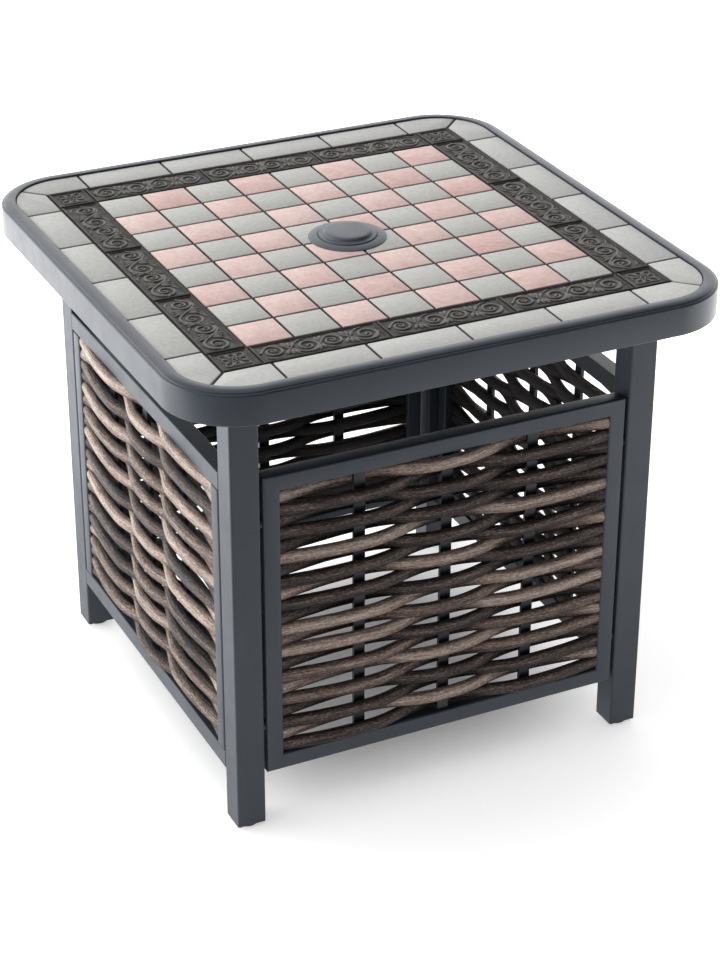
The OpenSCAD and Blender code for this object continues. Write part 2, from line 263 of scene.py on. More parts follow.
class Shader(Graph):
    """A material in the making, with the textures that the finishes share."""

    def __init__(self, name: str) -> None:
        """Starts a material with its surface shader.

        Args:
            name: The material's name.
        """
        self.material = bpy.data.materials.new(name)
        self.material.use_nodes = True
        super().__init__(self.material.node_tree)
        self.surface = self.tree.nodes["Principled BSDF"]

    def place(self, scale: Sequence[float] = (1, 1, 1)) -> Socket:
        """Object coordinates in metres, scaled along each axis."""
        coords = self.add("ShaderNodeTexCoord").outputs["Object"]
        return self.add("ShaderNodeMapping", {"Vector": coords, "Scale": scale}).outputs[0]

    def mark(self, name: str, whole: bool = False) -> Socket:
        """A named attribute of the mesh, as a number, or as a vector when whole."""
        node = self.add("ShaderNodeAttribute", attribute_name=name)
        return node.outputs["Vector" if whole else "Fac"]

    def ramp(self, value: Socket, stops: Iterable[tuple[float, Colour]]) -> Socket:
        """A colour ramp.

        Args:
            value: Place on the ramp.
            stops: Places and their colours, the two ends first.

        Returns:
            The colour.
        """
        node = self.add("ShaderNodeValToRGB", {0: value})
        marks = node.color_ramp.elements
        for number, (place, colour) in enumerate(stops):
            mark = marks[number] if number < 2 else marks.new(place)
            mark.position, mark.color = place, colour
        return node.outputs[0]

    def mix(self, share: object, first: object, second: object, kind: str = "MIX") -> Socket:
        """Two colours or sockets mixed, with the second one's share given first."""
        inputs = {0: share, 6: first, 7: second}
        return self.add("ShaderNodeMix", inputs, data_type="RGBA", blend_type=kind).outputs[2]

    def vary(self, noise: Socket, to_low: float, to_high: float) -> Socket:
        """Maps the usual range of a noise to to_low..to_high, clamped."""
        return self.spread(noise, NOISE_LOW, NOISE_HIGH, to_low, to_high)

    def tinted(self, noise: Socket, colour: Colour, dark: float, light: float) -> Socket:
        """A colour that a noise makes darker or lighter, between two factors."""
        return self.mix(self.vary(noise, 0.0, 1.0), scaled(colour, dark), scaled(colour, light))

    def bump(self, height: Socket, distance: float, below: Socket | None = None) -> Socket:
        """A bump.

        Args:
            height: Height from 0 to 1.
            distance: Metres that 1 stands for.
            below: The normal of a bump under this one.

        Returns:
            The bumped normal.
        """
        inputs = {"Height": height, "Distance": distance, "Strength": 1.0}
        if below is not None:
            inputs["Normal"] = below
        return self.add("ShaderNodeBump", inputs).outputs[0]

    def dress(self, **values: object) -> bpy.types.Material:
        """Sets the surface shader's inputs and ends the material.

        Args:
            **values: Sockets or constants by input name, with _ for a space.

        Returns:
            The material.
        """
        for key, value in values.items():
            socket = self.surface.inputs[key.replace("_", " ")]
            if isinstance(value, Socket):
                self.tree.links.new(value, socket)
            else:
                socket.default_value = value
        return self.material


class Recipe(Graph):
    """A Geometry Nodes tree with named inputs, ending in Realize Instances and Set Material."""

    def __init__(self, name: str, inputs: dict[str, tuple[str, object]]) -> None:
        """Starts the tree.

        Args:
            name: Its name.
            inputs: Kind and usual value of each input by its label.
        """
        super().__init__(bpy.data.node_groups.new(name, "GeometryNodeTree"))
        face = self.tree.interface
        face.new_socket(name="Geometry", in_out="INPUT", socket_type="NodeSocketGeometry")
        self.ids: dict[str, str] = {}
        for label, (kind, usual) in {**inputs, "Material": ("Material", None)}.items():
            socket = face.new_socket(name=label, in_out="INPUT",
                                     socket_type="NodeSocket" + kind)
            if usual is not None:
                socket.default_value = usual
            self.ids[label] = socket.identifier
        face.new_socket(name="Geometry", in_out="OUTPUT", socket_type="NodeSocketGeometry")
        self.source = self.tree.nodes.new("NodeGroupInput")
        self.shape(self.source.outputs["Geometry"])

    def shape(self, geometry: Socket) -> None:
        """Adds the tree's own nodes; each kind of recipe has its own."""
        raise NotImplementedError

    def ask(self, label: str) -> Socket:
        """The socket of one of the tree's inputs."""
        return self.source.outputs[label]

    def read(self, name: str, kind: str = "FLOAT") -> Socket:
        """A named attribute of the geometry."""
        node = self.add("GeometryNodeInputNamedAttribute", {"Name": name}, data_type=kind)
        return node.outputs["Attribute"]

    def store(self, geometry: Socket, name: str, value: Socket, kind: str = "FLOAT",
              domain: str = "POINT") -> Socket:
        """Keeps a value on the geometry.

        Args:
            geometry: The geometry.
            name: The attribute's name.
            value: What it holds.
            kind: Its data type.
            domain: Where it lives.

        Returns:
            The geometry with the attribute.
        """
        inputs = {"Geometry": geometry, "Name": name, "Value": value}
        return self.add("GeometryNodeStoreNamedAttribute", inputs, data_type=kind,
                        domain=domain).outputs[0]

    def chance(self, low: float, high: float, number: Socket, seed: Socket) -> Socket:
        """A random number from low to high for each item, told apart by its number."""
        inputs = {2: low, 3: high, "ID": number, "Seed": seed}
        return self.add("FunctionNodeRandomValue", inputs, data_type="FLOAT").outputs[1]

    def close(self, geometry: Socket) -> None:
        """Ends the tree: real geometry, then the material.

        Args:
            geometry: What the tree has made.
        """
        real = self.add("GeometryNodeRealizeInstances", {0: geometry}).outputs[0]
        inputs = {"Geometry": real, "Material": self.ask("Material")}
        done = self.add("GeometryNodeSetMaterial", inputs).outputs[0]
        self.add("NodeGroupOutput", {0: done})

    def run(self, name: str, mesh: bpy.types.Mesh, **values: object) -> bpy.types.Object:
        """Runs the tree on a mesh and turns the result into a plain mesh.

        Args:
            name: The piece's name.
            mesh: What goes in.
            **values: The inputs by label, with _ for a space.

        Returns:
            The finished object, without its modifier.
        """
        piece = bpy.data.objects.new(name, mesh)
        bpy.context.scene.collection.objects.link(piece)
        modifier = piece.modifiers.new(self.tree.name, "NODES")
        modifier.node_group = self.tree
        for label, value in values.items():
            modifier[self.ids[label.replace("_", " ")]] = value
        graph = bpy.context.evaluated_depsgraph_get()
        result = bpy.data.meshes.new_from_object(piece.evaluated_get(graph))
        piece.modifiers.clear()
        piece.data = result
        result.name = name
        return piece


class StrandRecipe(Recipe):
    """Turns paths into flat oval strands that twist a little, as woven resin does."""

    sways_per_metre: float = 9.0
    ripples_per_metre: float = 70.0
    swell_rate: float = 2.3
    apart: float = 7.31

    def __init__(self) -> None:
        """Names the inputs."""
        super().__init__("resin strands along paths", {
            "Height": ("Float", STRAND_HEIGHT_MM * MM),
            "Thickness": ("Float", STRAND_THICK_MM * MM),
            "Fullness": ("Float", 0.85), "Sides": ("Int", 18), "Twist": ("Float", 0.24),
            "Waver": ("Float", 0.0004), "Swell": ("Float", 0.12), "Seed": ("Int", 4)})

    def section(self) -> Socket:
        """The strand's section: a circle pulled to a full oval, with its own place kept.

        Returns:
            The section.
        """
        circle = self.add("GeometryNodeCurvePrimitiveCircle",
                          {"Resolution": self.ask("Sides"), "Radius": 1.0}).outputs[0]
        x, y, _ = self.split(self.add("GeometryNodeInputPosition").outputs[0])
        ends = []
        for place, size in ((x, self.ask("Thickness")), (y, self.ask("Height"))):
            bulge = self.math("POWER", self.math("ABSOLUTE", place), self.ask("Fullness"))
            half = self.math("MULTIPLY", size, 0.5)
            reach = self.math("MULTIPLY", bulge, half)
            ends.append(self.math("MULTIPLY", reach, self.math("SIGN", place)))
        oval = self.combine(ends[0], ends[1], 0.0)
        inputs = {"Geometry": circle, "Position": oval}
        shaped = self.add("GeometryNodeSetPosition", inputs).outputs[0]
        place = self.add("GeometryNodeInputPosition").outputs[0]
        return self.store(shaped, "girth", place, "FLOAT_VECTOR")

    def shape(self, geometry: Socket) -> None:
        """Sweeps the section along each path.

        Args:
            geometry: The paths, as edges with their tones.
        """
        curve = self.add("GeometryNodeMeshToCurve", {0: geometry}).outputs[0]
        length = self.add("GeometryNodeSplineParameter").outputs["Length"]
        curve = self.store(curve, "along", length)
        curve = self.add("GeometryNodeSetCurveNormal", {0: curve}, mode="Z_UP").outputs[0]
        number = self.math("MULTIPLY", self.read("strand"), self.apart)
        along = self.math("MULTIPLY", self.read("along"), self.sways_per_metre)
        here = self.combine(along, number, self.ask("Seed"))
        sway = self.math("SUBTRACT", self.noise(here, 1.0, 1.0), 0.5)
        tilt = self.math("MULTIPLY", self.math("MULTIPLY", sway, 2.0), self.ask("Twist"))
        curve = self.add("GeometryNodeSetCurveTilt", {"Curve": curve, "Tilt": tilt}).outputs[0]
        finer = self.vector("SCALE", here, self.swell_rate)
        swell = self.math("SUBTRACT", self.noise(finer, 1.0, 2.0), 0.5)
        size = self.math("ADD", self.math("MULTIPLY", swell, self.ask("Swell")), 1.0)
        mesh = self.add("GeometryNodeCurveToMesh", {
            "Curve": curve, "Profile Curve": self.section(), "Scale": size,
            "Fill Caps": True}).outputs[0]
        spot = self.add("GeometryNodeInputPosition").outputs[0]
        ripple = self.math("SUBTRACT", self.noise(spot, self.ripples_per_metre, 2.0), 0.5)
        out = self.add("GeometryNodeInputNormal").outputs[0]
        push = self.vector("SCALE", out, self.math("MULTIPLY", ripple, self.ask("Waver")))
        mesh = self.add("GeometryNodeSetPosition", {"Geometry": mesh, "Offset": push}).outputs[0]
        self.close(self.add("GeometryNodeSetShadeSmooth", {"Geometry": mesh}).outputs[0])


class CheckerRecipe(Recipe):
    """Lays every second square of a checker field, each a shade off level, and cuts the hole."""

    hole_sides: int = 96
    drill_length: float = 1.2

    def __init__(self) -> None:
        """Names the inputs."""
        super().__init__("checker squares", {
            "Count": ("Int", 8), "Pitch": ("Float", 0.04725), "Parity": ("Int", 0),
            "Hole Radius": ("Float", 0.0295), "Top": ("Float", TILE_TOP_MM * MM),
            "Tilt": ("Float", 0.001), "Seed": ("Int", 11)})

    def shape(self, geometry: Socket) -> None:
        """Instances the tile on the grid's points of one parity.

        Args:
            geometry: One tile, about the origin.
        """
        count, seed = self.ask("Count"), self.ask("Seed")
        width = self.math("MULTIPLY", self.math("SUBTRACT", count, 1.0), self.ask("Pitch"))
        grid = self.add("GeometryNodeMeshGrid", {
            "Size X": width, "Size Y": width, "Vertices X": count,
            "Vertices Y": count}).outputs[0]
        index = self.add("GeometryNodeInputIndex").outputs[0]
        # Half a step keeps the division clear of whole numbers
        row = self.math("FLOOR", self.math("DIVIDE", self.math("ADD", index, 0.5), count))
        step = self.math("ADD", self.math("MODULO", index, count), row)
        wanted = self.math("COMPARE", self.math("MODULO", step, 2.0), self.ask("Parity"), 0.1)
        lean = []
        for offset in (1.0, 2.0):
            share = self.chance(-1.0, 1.0, index, self.math("ADD", seed, offset))
            lean.append(self.math("MULTIPLY", share, self.ask("Tilt")))
        tiles = self.add("GeometryNodeInstanceOnPoints", {
            "Points": grid, "Selection": wanted, "Instance": geometry,
            "Rotation": self.combine(lean[0], lean[1], 0.0)}).outputs[0]
        real = self.add("GeometryNodeRealizeInstances", {0: tiles}).outputs[0]
        island = self.add("GeometryNodeInputMeshIsland").outputs[0]
        real = self.store(real, "shade", self.chance(0.0, 1.0, island, seed))
        up = self.combine(0.0, 0.0, self.ask("Top"))
        real = self.add("GeometryNodeSetPosition", {"Geometry": real, "Offset": up}).outputs[0]
        drill = self.add("GeometryNodeMeshCylinder", {
            "Vertices": self.hole_sides, "Radius": self.ask("Hole Radius"),
            "Depth": self.drill_length}).outputs[0]
        cut = self.add("GeometryNodeMeshBoolean", {"Mesh 1": real, "Mesh 2": drill},
                       operation="DIFFERENCE", solver="EXACT").outputs[0]
        self.close(cut)


class RoundRecipe(Recipe):
    """Repeats a tile along one side of the top and then round its sides, ornament and all."""

    def __init__(self) -> None:
        """Names the inputs."""
        super().__init__("tiles round the top", {
            "Count": ("Int", 3), "Pitch": ("Float", 0.126), "Start": ("Vector", (0, 0, 0)),
            "Turns": ("Int", 4), "Bead Sides": ("Int", 10), "Bead Height": ("Float", 0.8),
            "Seed": ("Int", 23)})

    def ornament(self, geometry: Socket) -> Socket:
        """Sweeps a low round bead along the strokes drawn on a tile.

        Args:
            geometry: A tile with its strokes as marked edges.

        Returns:
            The beads.
        """
        strokes = self.add("GeometryNodeMeshToCurve", {
            "Mesh": geometry, "Selection": self.read("stroke", "BOOLEAN")}).outputs[0]
        upright = self.add("GeometryNodeSetCurveNormal", {0: strokes}, mode="Z_UP").outputs[0]
        circle = self.add("GeometryNodeCurvePrimitiveCircle", {
            "Resolution": self.ask("Bead Sides"), "Radius": 1.0}).outputs[0]
        low = self.add("GeometryNodeTransform", {
            "Geometry": circle,
            "Scale": self.combine(1.0, self.ask("Bead Height"), 1.0)}).outputs[0]
        bead = self.add("GeometryNodeCurveToMesh", {
            "Curve": upright, "Profile Curve": low, "Scale": self.read("wide"),
            "Fill Caps": True}).outputs[0]
        return self.add("GeometryNodeSetShadeSmooth", {"Geometry": bead}).outputs[0]

    def shape(self, geometry: Socket) -> None:
        """Joins tile and ornament, lays a row and turns it round the centre line.

        Args:
            geometry: A tile with its strokes as marked edges.
        """
        body = self.add("GeometryNodeDeleteGeometry", {
            "Geometry": geometry, "Selection": self.read("stroke", "BOOLEAN")}).outputs[0]
        tile = self.add("GeometryNodeJoinGeometry")
        for part in (self.ornament(geometry), body):
            self.tree.links.new(part, tile.inputs[0])
        row = self.add("GeometryNodeMeshLine", {
            "Count": self.ask("Count"), "Start Location": self.ask("Start"),
            "Offset": self.combine(self.ask("Pitch"), 0.0, 0.0)}).outputs[0]
        laid = self.add("GeometryNodeInstanceOnPoints", {
            "Points": row, "Instance": tile.outputs[0]}).outputs[0]
        laid = self.add("GeometryNodeRealizeInstances", {0: laid}).outputs[0]
        middle = self.add("GeometryNodeMeshLine", {
            "Count": self.ask("Turns"), "Offset": (0, 0, 0)}).outputs[0]
        index = self.add("GeometryNodeInputIndex").outputs[0]
        angle = self.math("DIVIDE", self.math("MULTIPLY", index, math.tau), self.ask("Turns"))
        turned = self.add("GeometryNodeInstanceOnPoints", {
            "Points": middle, "Instance": laid,
            "Rotation": self.combine(0.0, 0.0, angle)}).outputs[0]
        real = self.add("GeometryNodeRealizeInstances", {0: turned}).outputs[0]
        island = self.add("GeometryNodeInputMeshIsland").outputs[0]
        self.close(self.store(real, "shade", self.chance(0.0, 1.0, island, self.ask("Seed"))))


# Finishes


@dataclass(frozen=True)
class PowderCoat:
    """Satin powder coating on steel: faint orange peel, a little cloud and rubbed patches."""

    name: str
    colour: Colour
    roughness: float = 0.36
    peel: float = 0.00003

    def make(self) -> bpy.types.Material:
        """Mixes the coating's colour, gloss and skin.

        Returns:
            The material.
        """
        mat = Shader(self.name)
        here = mat.place()
        tone = mat.tinted(mat.noise(here, scale=9.0, detail=3.0), self.colour, 0.92, 1.1)
        grit = mat.spread(mat.noise(here, scale=2600.0, detail=1.0), 0.62, 0.8, 0.0, 0.12)
        tone = mat.mix(grit, tone, scaled(self.colour, 1.8))
        rubbed = mat.noise(here, scale=38.0, detail=4.0, rough=0.6)
        rough = mat.vary(rubbed, self.roughness - 0.04, self.roughness + 0.05)
        peel = mat.bump(mat.noise(here, scale=900.0, detail=2.0), self.peel)
        return mat.dress(Base_Color=tone, Roughness=rough, Normal=peel, IOR=1.5,
                         Specular_IOR_Level=0.36)


@dataclass(frozen=True)
class StoneTile:
    """A matt glazed tile with clouds, veins and pits; each tile has its own shade."""

    name: str
    pale: Colour
    body: Colour
    deep: Colour
    contrast: float = 1.0
    roughness: float = 0.55
    clouding: float = 1.35
    shading: float = 0.36
    spacing: float = 9.0

    def make(self) -> bpy.types.Material:
        """Mixes the tile's colour, gloss and skin.

        Returns:
            The material.
        """
        mat = Shader(self.name)
        shade = mat.mark("shade")
        apart = mat.combine(mat.math("MULTIPLY", shade, self.spacing), 0.0, 0.0)
        here = mat.vector("ADD", mat.place(), apart)
        cloud = mat.noise(here, scale=46.0, detail=6.0, rough=0.68, warp=0.7)
        level = 0.5
        for part, weight in ((cloud, self.clouding), (shade, self.shading)):
            swing = mat.math("SUBTRACT", part, 0.5)
            level = mat.math("ADD", mat.math("MULTIPLY", swing, weight * self.contrast), level)
        colour = mat.ramp(level, ((0.05, self.deep), (0.95, self.pale), (0.5, self.body)))
        fleck = mat.noise(here, scale=420.0, detail=3.0, rough=0.7)
        colour = mat.mix(mat.spread(fleck, 0.6, 0.8, 0.0, 0.3), colour, self.deep)
        mottle = mat.noise(here, scale=210.0, detail=4.0, rough=0.75, warp=0.5)
        colour = mat.mix(1.0, colour, mat.spread(mottle, 0.35, 0.65, 0.9, 1.06), "MULTIPLY")
        rough = mat.vary(cloud, self.roughness - 0.06, self.roughness + 0.08)
        skin = mat.bump(mat.noise(here, scale=160.0, detail=4.0, rough=0.6), 0.00018)
        pits = mat.bump(mat.noise(here, scale=1100.0, detail=2.0), 0.00006, skin)
        return mat.dress(Base_Color=colour, Roughness=rough, Normal=pits, IOR=1.5,
                         Specular_IOR_Level=0.25)


@dataclass(frozen=True)
class RubbedRelief:
    """Dark relief whose ridges are lighter than its ground: rubbed wear on the ridges, and painted
    shade in the sunk ground.
    """

    name: str
    ground: Colour
    ridge: Colour
    low_mm: float = TILE_TOP_MM - 0.9
    high_mm: float = TILE_TOP_MM + 0.4
    wear: float = 0.22

    def make(self) -> bpy.types.Material:
        """Mixes the relief's colour, gloss and skin.

        Returns:
            The material.
        """
        mat = Shader(self.name)
        here = mat.place()
        # Colour follows height: the low ground is darker as painted shade, the ridges lighter as
        # rubbed wear
        height = mat.spread(mat.split(here)[2], self.low_mm * MM, self.high_mm * MM, 0.0, 1.0)
        worn = mat.noise(here, scale=130.0, detail=4.0, rough=0.6)
        level = mat.math("ADD", height, mat.vary(worn, -self.wear, self.wear))
        colour = mat.ramp(level, ((0.1, self.ground), (0.95, self.ridge)))
        rough = mat.vary(worn, 0.66, 0.5)
        skin = mat.bump(mat.noise(here, scale=700.0, detail=4.0, rough=0.65), 0.00012)
        return mat.dress(Base_Color=colour, Roughness=rough, Normal=skin, IOR=1.5,
                         Specular_IOR_Level=0.3)


@dataclass(frozen=True)
class CementGrout:
    """Sandy coloured grout."""

    name: str
    colour: Colour

    def make(self) -> bpy.types.Material:
        """Mixes the grout's colour, gloss and skin.

        Returns:
            The material.
        """
        mat = Shader(self.name)
        here = mat.place()
        sand = mat.noise(here, scale=1500.0, detail=3.0, rough=0.7)
        colour = mat.mix(mat.spread(sand, 0.35, 0.7, 0.0, 1.0), scaled(self.colour, 0.7),
                         scaled(self.colour, 1.35))
        return mat.dress(Base_Color=colour, Roughness=0.85, Normal=mat.bump(sand, 0.0002))


@dataclass(frozen=True)
class WickerResin:
    """Extruded resin strand with a wood-like grain that runs along it; its edges, underside and
    inner bends are painted darker as shade.
    """

    name: str
    roughness: float = 0.46
    half_height: float = STRAND_HEIGHT_MM / 2 * MM
    half_thick: float = STRAND_THICK_MM / 2 * MM
    apart: float = 34.87
    # Plain unprinted resin of the inner face, made darker still as painted shade for the inside of
    # the base
    plain_back: Colour = srgb(38, 33, 32)
    tones: tuple[tuple[float, Colour], ...] = (
        (0.0, srgb(18, 15, 14)), (1.0, srgb(206, 190, 178)), (0.25, srgb(61, 51, 47)),
        (0.5, srgb(110, 92, 83)), (0.75, srgb(161, 141, 128)))

    def make(self) -> bpy.types.Material:
        """Mixes the resin's colour, gloss and skin.

        Returns:
            The material.
        """
        mat = Shader(self.name)
        along, strand = mat.mark("along"), mat.mark("strand")
        out, down, _ = mat.split(mat.mark("girth", whole=True))
        start = mat.math("MULTIPLY", strand, self.apart)

        def streaks(long: float, cross: float, detail: float, low: float = NOISE_LOW,
                    high: float = NOISE_HIGH) -> Socket:
            """Noise drawn out along the strand.

            Args:
                long: Features per metre along the strand.
                cross: Features per metre across it.
                detail: Octaves.
                low: Noise that stands for -1.
                high: Noise that stands for 1.

            Returns:
                The noise, from -1 to 1.
            """
            run = mat.math("ADD", mat.math("MULTIPLY", along, long), start)
            spot = mat.combine(run, mat.math("MULTIPLY", out, cross),
                               mat.math("MULTIPLY", down, cross))
            drawn = mat.noise(spot, scale=1.0, detail=detail, rough=0.6)
            return mat.spread(drawn, low, high, -1.0, 1.0)

        grain = streaks(long=42.0, cross=720.0, detail=4.0)
        fleck = streaks(long=250.0, cross=1250.0, detail=2.0, low=0.42, high=0.72)
        cloud = streaks(long=11.0, cross=130.0, detail=2.0)
        # Painted shade: the strand darkens towards its upper and lower edges, where its neighbours
        # shade it
        edge = mat.spread(mat.math("ABSOLUTE", down), self.half_height * 0.55, self.half_height,
                          0.0, 1.0)
        # Painted shade: the lower part of the strand is darker, as if lit from above
        under = mat.spread(down, self.half_height * -0.2, self.half_height, 0.0, 1.0)
        # Painted shade where the strand bends inwards behind a strap
        dip = mat.spread(mat.mark("dip"), 0.0, 1.0, 0.0, 1.0)
        level = mat.mark("tone")
        # Grain and flecks lighten the tone; painted shade darkens it at the edges, the undersides
        # and the inner bends
        for part, weight in ((grain, 0.2), (fleck, 0.22), (cloud, 0.08), (edge, -0.2),
                             (under, -0.4), (dip, -0.24)):
            level = mat.math("ADD", level, mat.math("MULTIPLY", part, weight))
        # The inner face is plain dark resin without the grain, and also painted shade for the inside
        # of the base
        back = mat.spread(out, self.half_thick * -0.7, self.half_thick * -0.35, 1.0, 0.0)
        colour = mat.mix(back, mat.ramp(level, self.tones), self.plain_back)
        rough = mat.spread(grain, -1.0, 1.0, self.roughness + 0.1, self.roughness - 0.06)
        bumped = mat.bump(fleck, 0.00022, mat.bump(grain, 0.0004))
        return mat.dress(Base_Color=colour, Roughness=rough, Normal=bumped, IOR=1.48,
                         Specular_IOR_Level=0.3)


@dataclass(frozen=True)
class MouldedPlastic:
    """Satin moulded plastic with a fine grained skin."""

    name: str
    colour: Colour
    roughness: float = 0.45

    def make(self) -> bpy.types.Material:
        """Mixes the plastic's colour, gloss and skin.

        Returns:
            The material.
        """
        mat = Shader(self.name)
        here = mat.place()
        cloud = mat.noise(here, scale=40.0, detail=4.0)
        colour = mat.tinted(cloud, self.colour, 0.93, 1.08)
        rough = mat.vary(cloud, self.roughness - 0.05, self.roughness + 0.06)
        skin = mat.bump(mat.noise(here, scale=1800.0, detail=2.0), 0.00003)
        return mat.dress(Base_Color=colour, Roughness=rough, Normal=skin, IOR=1.47)


@dataclass(frozen=True)
class PressedBoard:
    """The board under the tiles: fibres, a brown face and a slight pattern of the press."""

    name: str
    colour: Colour
    fibre_pull: tuple[float, float, float] = (1.0, 7.0, 1.0)

    def make(self) -> bpy.types.Material:
        """Mixes the board's colour, gloss and skin.

        Returns:
            The material.
        """
        mat = Shader(self.name)
        along = mat.place(self.fibre_pull)
        fibres = mat.noise(along, scale=120.0, detail=6.0, rough=0.65, warp=0.4)
        colour = mat.tinted(fibres, self.colour, 0.75, 1.2)
        return mat.dress(Base_Color=colour, Roughness=0.72, Normal=mat.bump(fibres, 0.0002))


@dataclass
class Finishes:
    """Every finish on the table, made once."""

    metal: Colour = srgb(50, 57, 66)
    made: dict[str, bpy.types.Material] = field(default_factory=dict)

    def __post_init__(self) -> None:
        """Makes the materials."""
        for finish in (
            PowderCoat("rim_coat", self.metal, 0.33),
            PowderCoat("frame_coat", self.metal, 0.38),
            PowderCoat("strap_coat", scaled(self.metal, 0.5), 0.42),
            PowderCoat("brace_coat", scaled(self.metal, 0.8), 0.5),
            StoneTile("pink_stone", srgb(227, 205, 197), srgb(215, 184, 178),
                      srgb(197, 156, 150)),
            StoneTile("grey_stone", srgb(195, 195, 190), srgb(182, 182, 177),
                      srgb(166, 166, 161), 0.55),
            StoneTile("border_stone", srgb(197, 197, 194), srgb(185, 185, 182),
                      srgb(171, 171, 168), 0.5),
            RubbedRelief("scroll_relief", srgb(41, 41, 41), srgb(97, 93, 89)),
            CementGrout("brown_grout", srgb(22, 17, 16)),
            WickerResin("wicker_resin"),
            MouldedPlastic("ring_plastic", srgb(72, 78, 86)),
            MouldedPlastic("glide_rubber", srgb(34, 36, 38), 0.6),
            PressedBoard("board_face", srgb(64, 57, 52)),
        ):
            self.made[finish.name] = finish.make()

    def __getitem__(self, name: str) -> bpy.types.Material:
        """A finish by its name."""
        return self.made[name]

    def coat(self, frame: dict, finish: str, *nodes: str) -> None:
        """Gives CAD nodes a finish.

        Args:
            frame: The loaded frame.
            finish: The finish's name.
            *nodes: The nodes that take it.
        """
        for name in nodes:
            for place in frame["nodes"][name].material_slots:
                place.material = self.made[finish]
            LOG.info("%s keeps its CAD form in %s", name, finish)


# Mesh helpers


def mesh_of(name: str, form: bmesh.types.BMesh, angle: float = 35.0) -> bpy.types.Mesh:
    """Turns a bmesh into a mesh that is smooth but for its sharp edges.

    Args:
        name: The mesh's name.
        form: The form, which is freed.
        angle: Edges sharper than this stay sharp, in degrees.

    Returns:
        The mesh.
    """
    mesh = bpy.data.meshes.new(name)
    form.to_mesh(mesh)
    form.free()
    mesh.shade_smooth()
    mesh.set_sharp_from_angle(angle=math.radians(angle))
    return mesh


def piece_of(name: str, mesh: bpy.types.Mesh,
             finish: bpy.types.Material) -> bpy.types.Object:
    """Makes an object of a mesh and a finish.

    Args:
        name: The piece's name.
        mesh: Its mesh, in its place.
        finish: Its material.

    Returns:
        The object, linked to the scene.
    """
    mesh.materials.clear()
    mesh.materials.append(finish)
    piece = bpy.data.objects.new(name, mesh)
    bpy.context.scene.collection.objects.link(piece)
    return piece


def join_frame(piece: bpy.types.Object, body: Body, slot: str, *nodes: str) -> None:
    """Ties a finished piece to the frame and reports it.

    Args:
        piece: The piece.
        body: The body it rides on.
        slot: A material slot's name; not used.
        *nodes: The CAD nodes that it stands for.
    """
    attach(piece, body.value)
    if nodes:
        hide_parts(*nodes)
    LOG.info("%s: %d faces on %s for %s", piece.name, len(piece.data.polygons), body.value,
             ", ".join(nodes) or "nothing")


def slab(form: bmesh.types.BMesh, outline: Sequence[Point], top: float,
         thickness: float) -> bmesh.types.BMFace:
    """Adds a flat slab.

    Args:
        form: The form that it goes into.
        outline: Its corners, counter-clockwise.
        top: Height of its face.
        thickness: Its thickness.

    Returns:
        The upper face.
    """
    high = [form.verts.new((x, y, top)) for x, y in outline]
    low = [form.verts.new((x, y, top - thickness)) for x, y in outline]
    face = form.faces.new(high)
    form.faces.new(low[::-1])
    for k, corner in enumerate(high):
        after = (k + 1) % len(high)
        form.faces.new((corner, low[k], low[after], high[after]))
    return face


def skin(form: bmesh.types.BMesh, rings: Sequence[Sequence[bmesh.types.BMVert]],
         closed: bool) -> None:
    """Joins rings of points by a skin.

    Args:
        form: The form that it goes into.
        rings: Rings of equally many points.
        closed: Whether the last ring joins the first; otherwise both ends get a face.
    """
    pairs = zip(rings, [*rings[1:], rings[0]] if closed else rings[1:])
    for one, two in pairs:
        for k in range(len(one)):
            after = (k + 1) % len(one)
            form.faces.new((one[k], one[after], two[after], two[k]))
    if not closed:
        form.faces.new(rings[0])
        form.faces.new(rings[-1])
    bmesh.ops.recalc_face_normals(form, faces=form.faces)


def lathe(form: bmesh.types.BMesh, section: Sequence[Point], steps: int = 96) -> None:
    """Turns a section about the centre line.

    Args:
        form: The form that it goes into.
        section: Radius and height of each point, outside first from the top down.
        steps: Steps round the circle.
    """
    rings = []
    for radius, height in section:
        if radius < TINY:
            rings.append([form.verts.new((0, 0, height))])
            continue
        turns = [math.tau * k / steps for k in range(steps)]
        rings.append([form.verts.new((radius * math.cos(a), radius * math.sin(a), height))
                      for a in turns])
    for one, two in zip(rings, rings[1:] + rings[:1]):
        if len(one) == len(two) == 1:
            continue
        for k in range(steps):
            after = (k + 1) % steps
            corners = [one[k % len(one)], two[k % len(two)], two[after % len(two)],
                       one[after % len(one)]]
            form.faces.new(list(dict.fromkeys(corners)))
    bmesh.ops.recalc_face_normals(form, faces=form.faces)


def arc(centre: Point, radius: float, start: float, end: float, steps: int) -> list[Point]:
    """Points on an arc.

    Args:
        centre: Its centre.
        radius: Its radius.
        start: First angle in degrees.
        end: Last angle in degrees.
        steps: Steps between them.

    Returns:
        The points, ends included.
    """
    turns = [math.radians(start + (end - start) * k / steps) for k in range(steps + 1)]
    return [(centre[0] + radius * math.cos(a), centre[1] + radius * math.sin(a))
            for a in turns]


def rounded(width: float, depth: float, radius: float, steps: int = 5) -> list[Point]:
    """A rectangle with round corners that starts at the origin.

    Args:
        width: Its width.
        depth: Its other width.
        radius: Radius of its corners.
        steps: Steps round each corner.

    Returns:
        Its points.
    """
    corners = ((width - radius, radius, -90), (width - radius, depth - radius, 0),
               (radius, depth - radius, 90), (radius, radius, 180))
    return [point for x, y, start in corners
            for point in arc((x, y), radius, start, start + 90, steps)]


# The table top


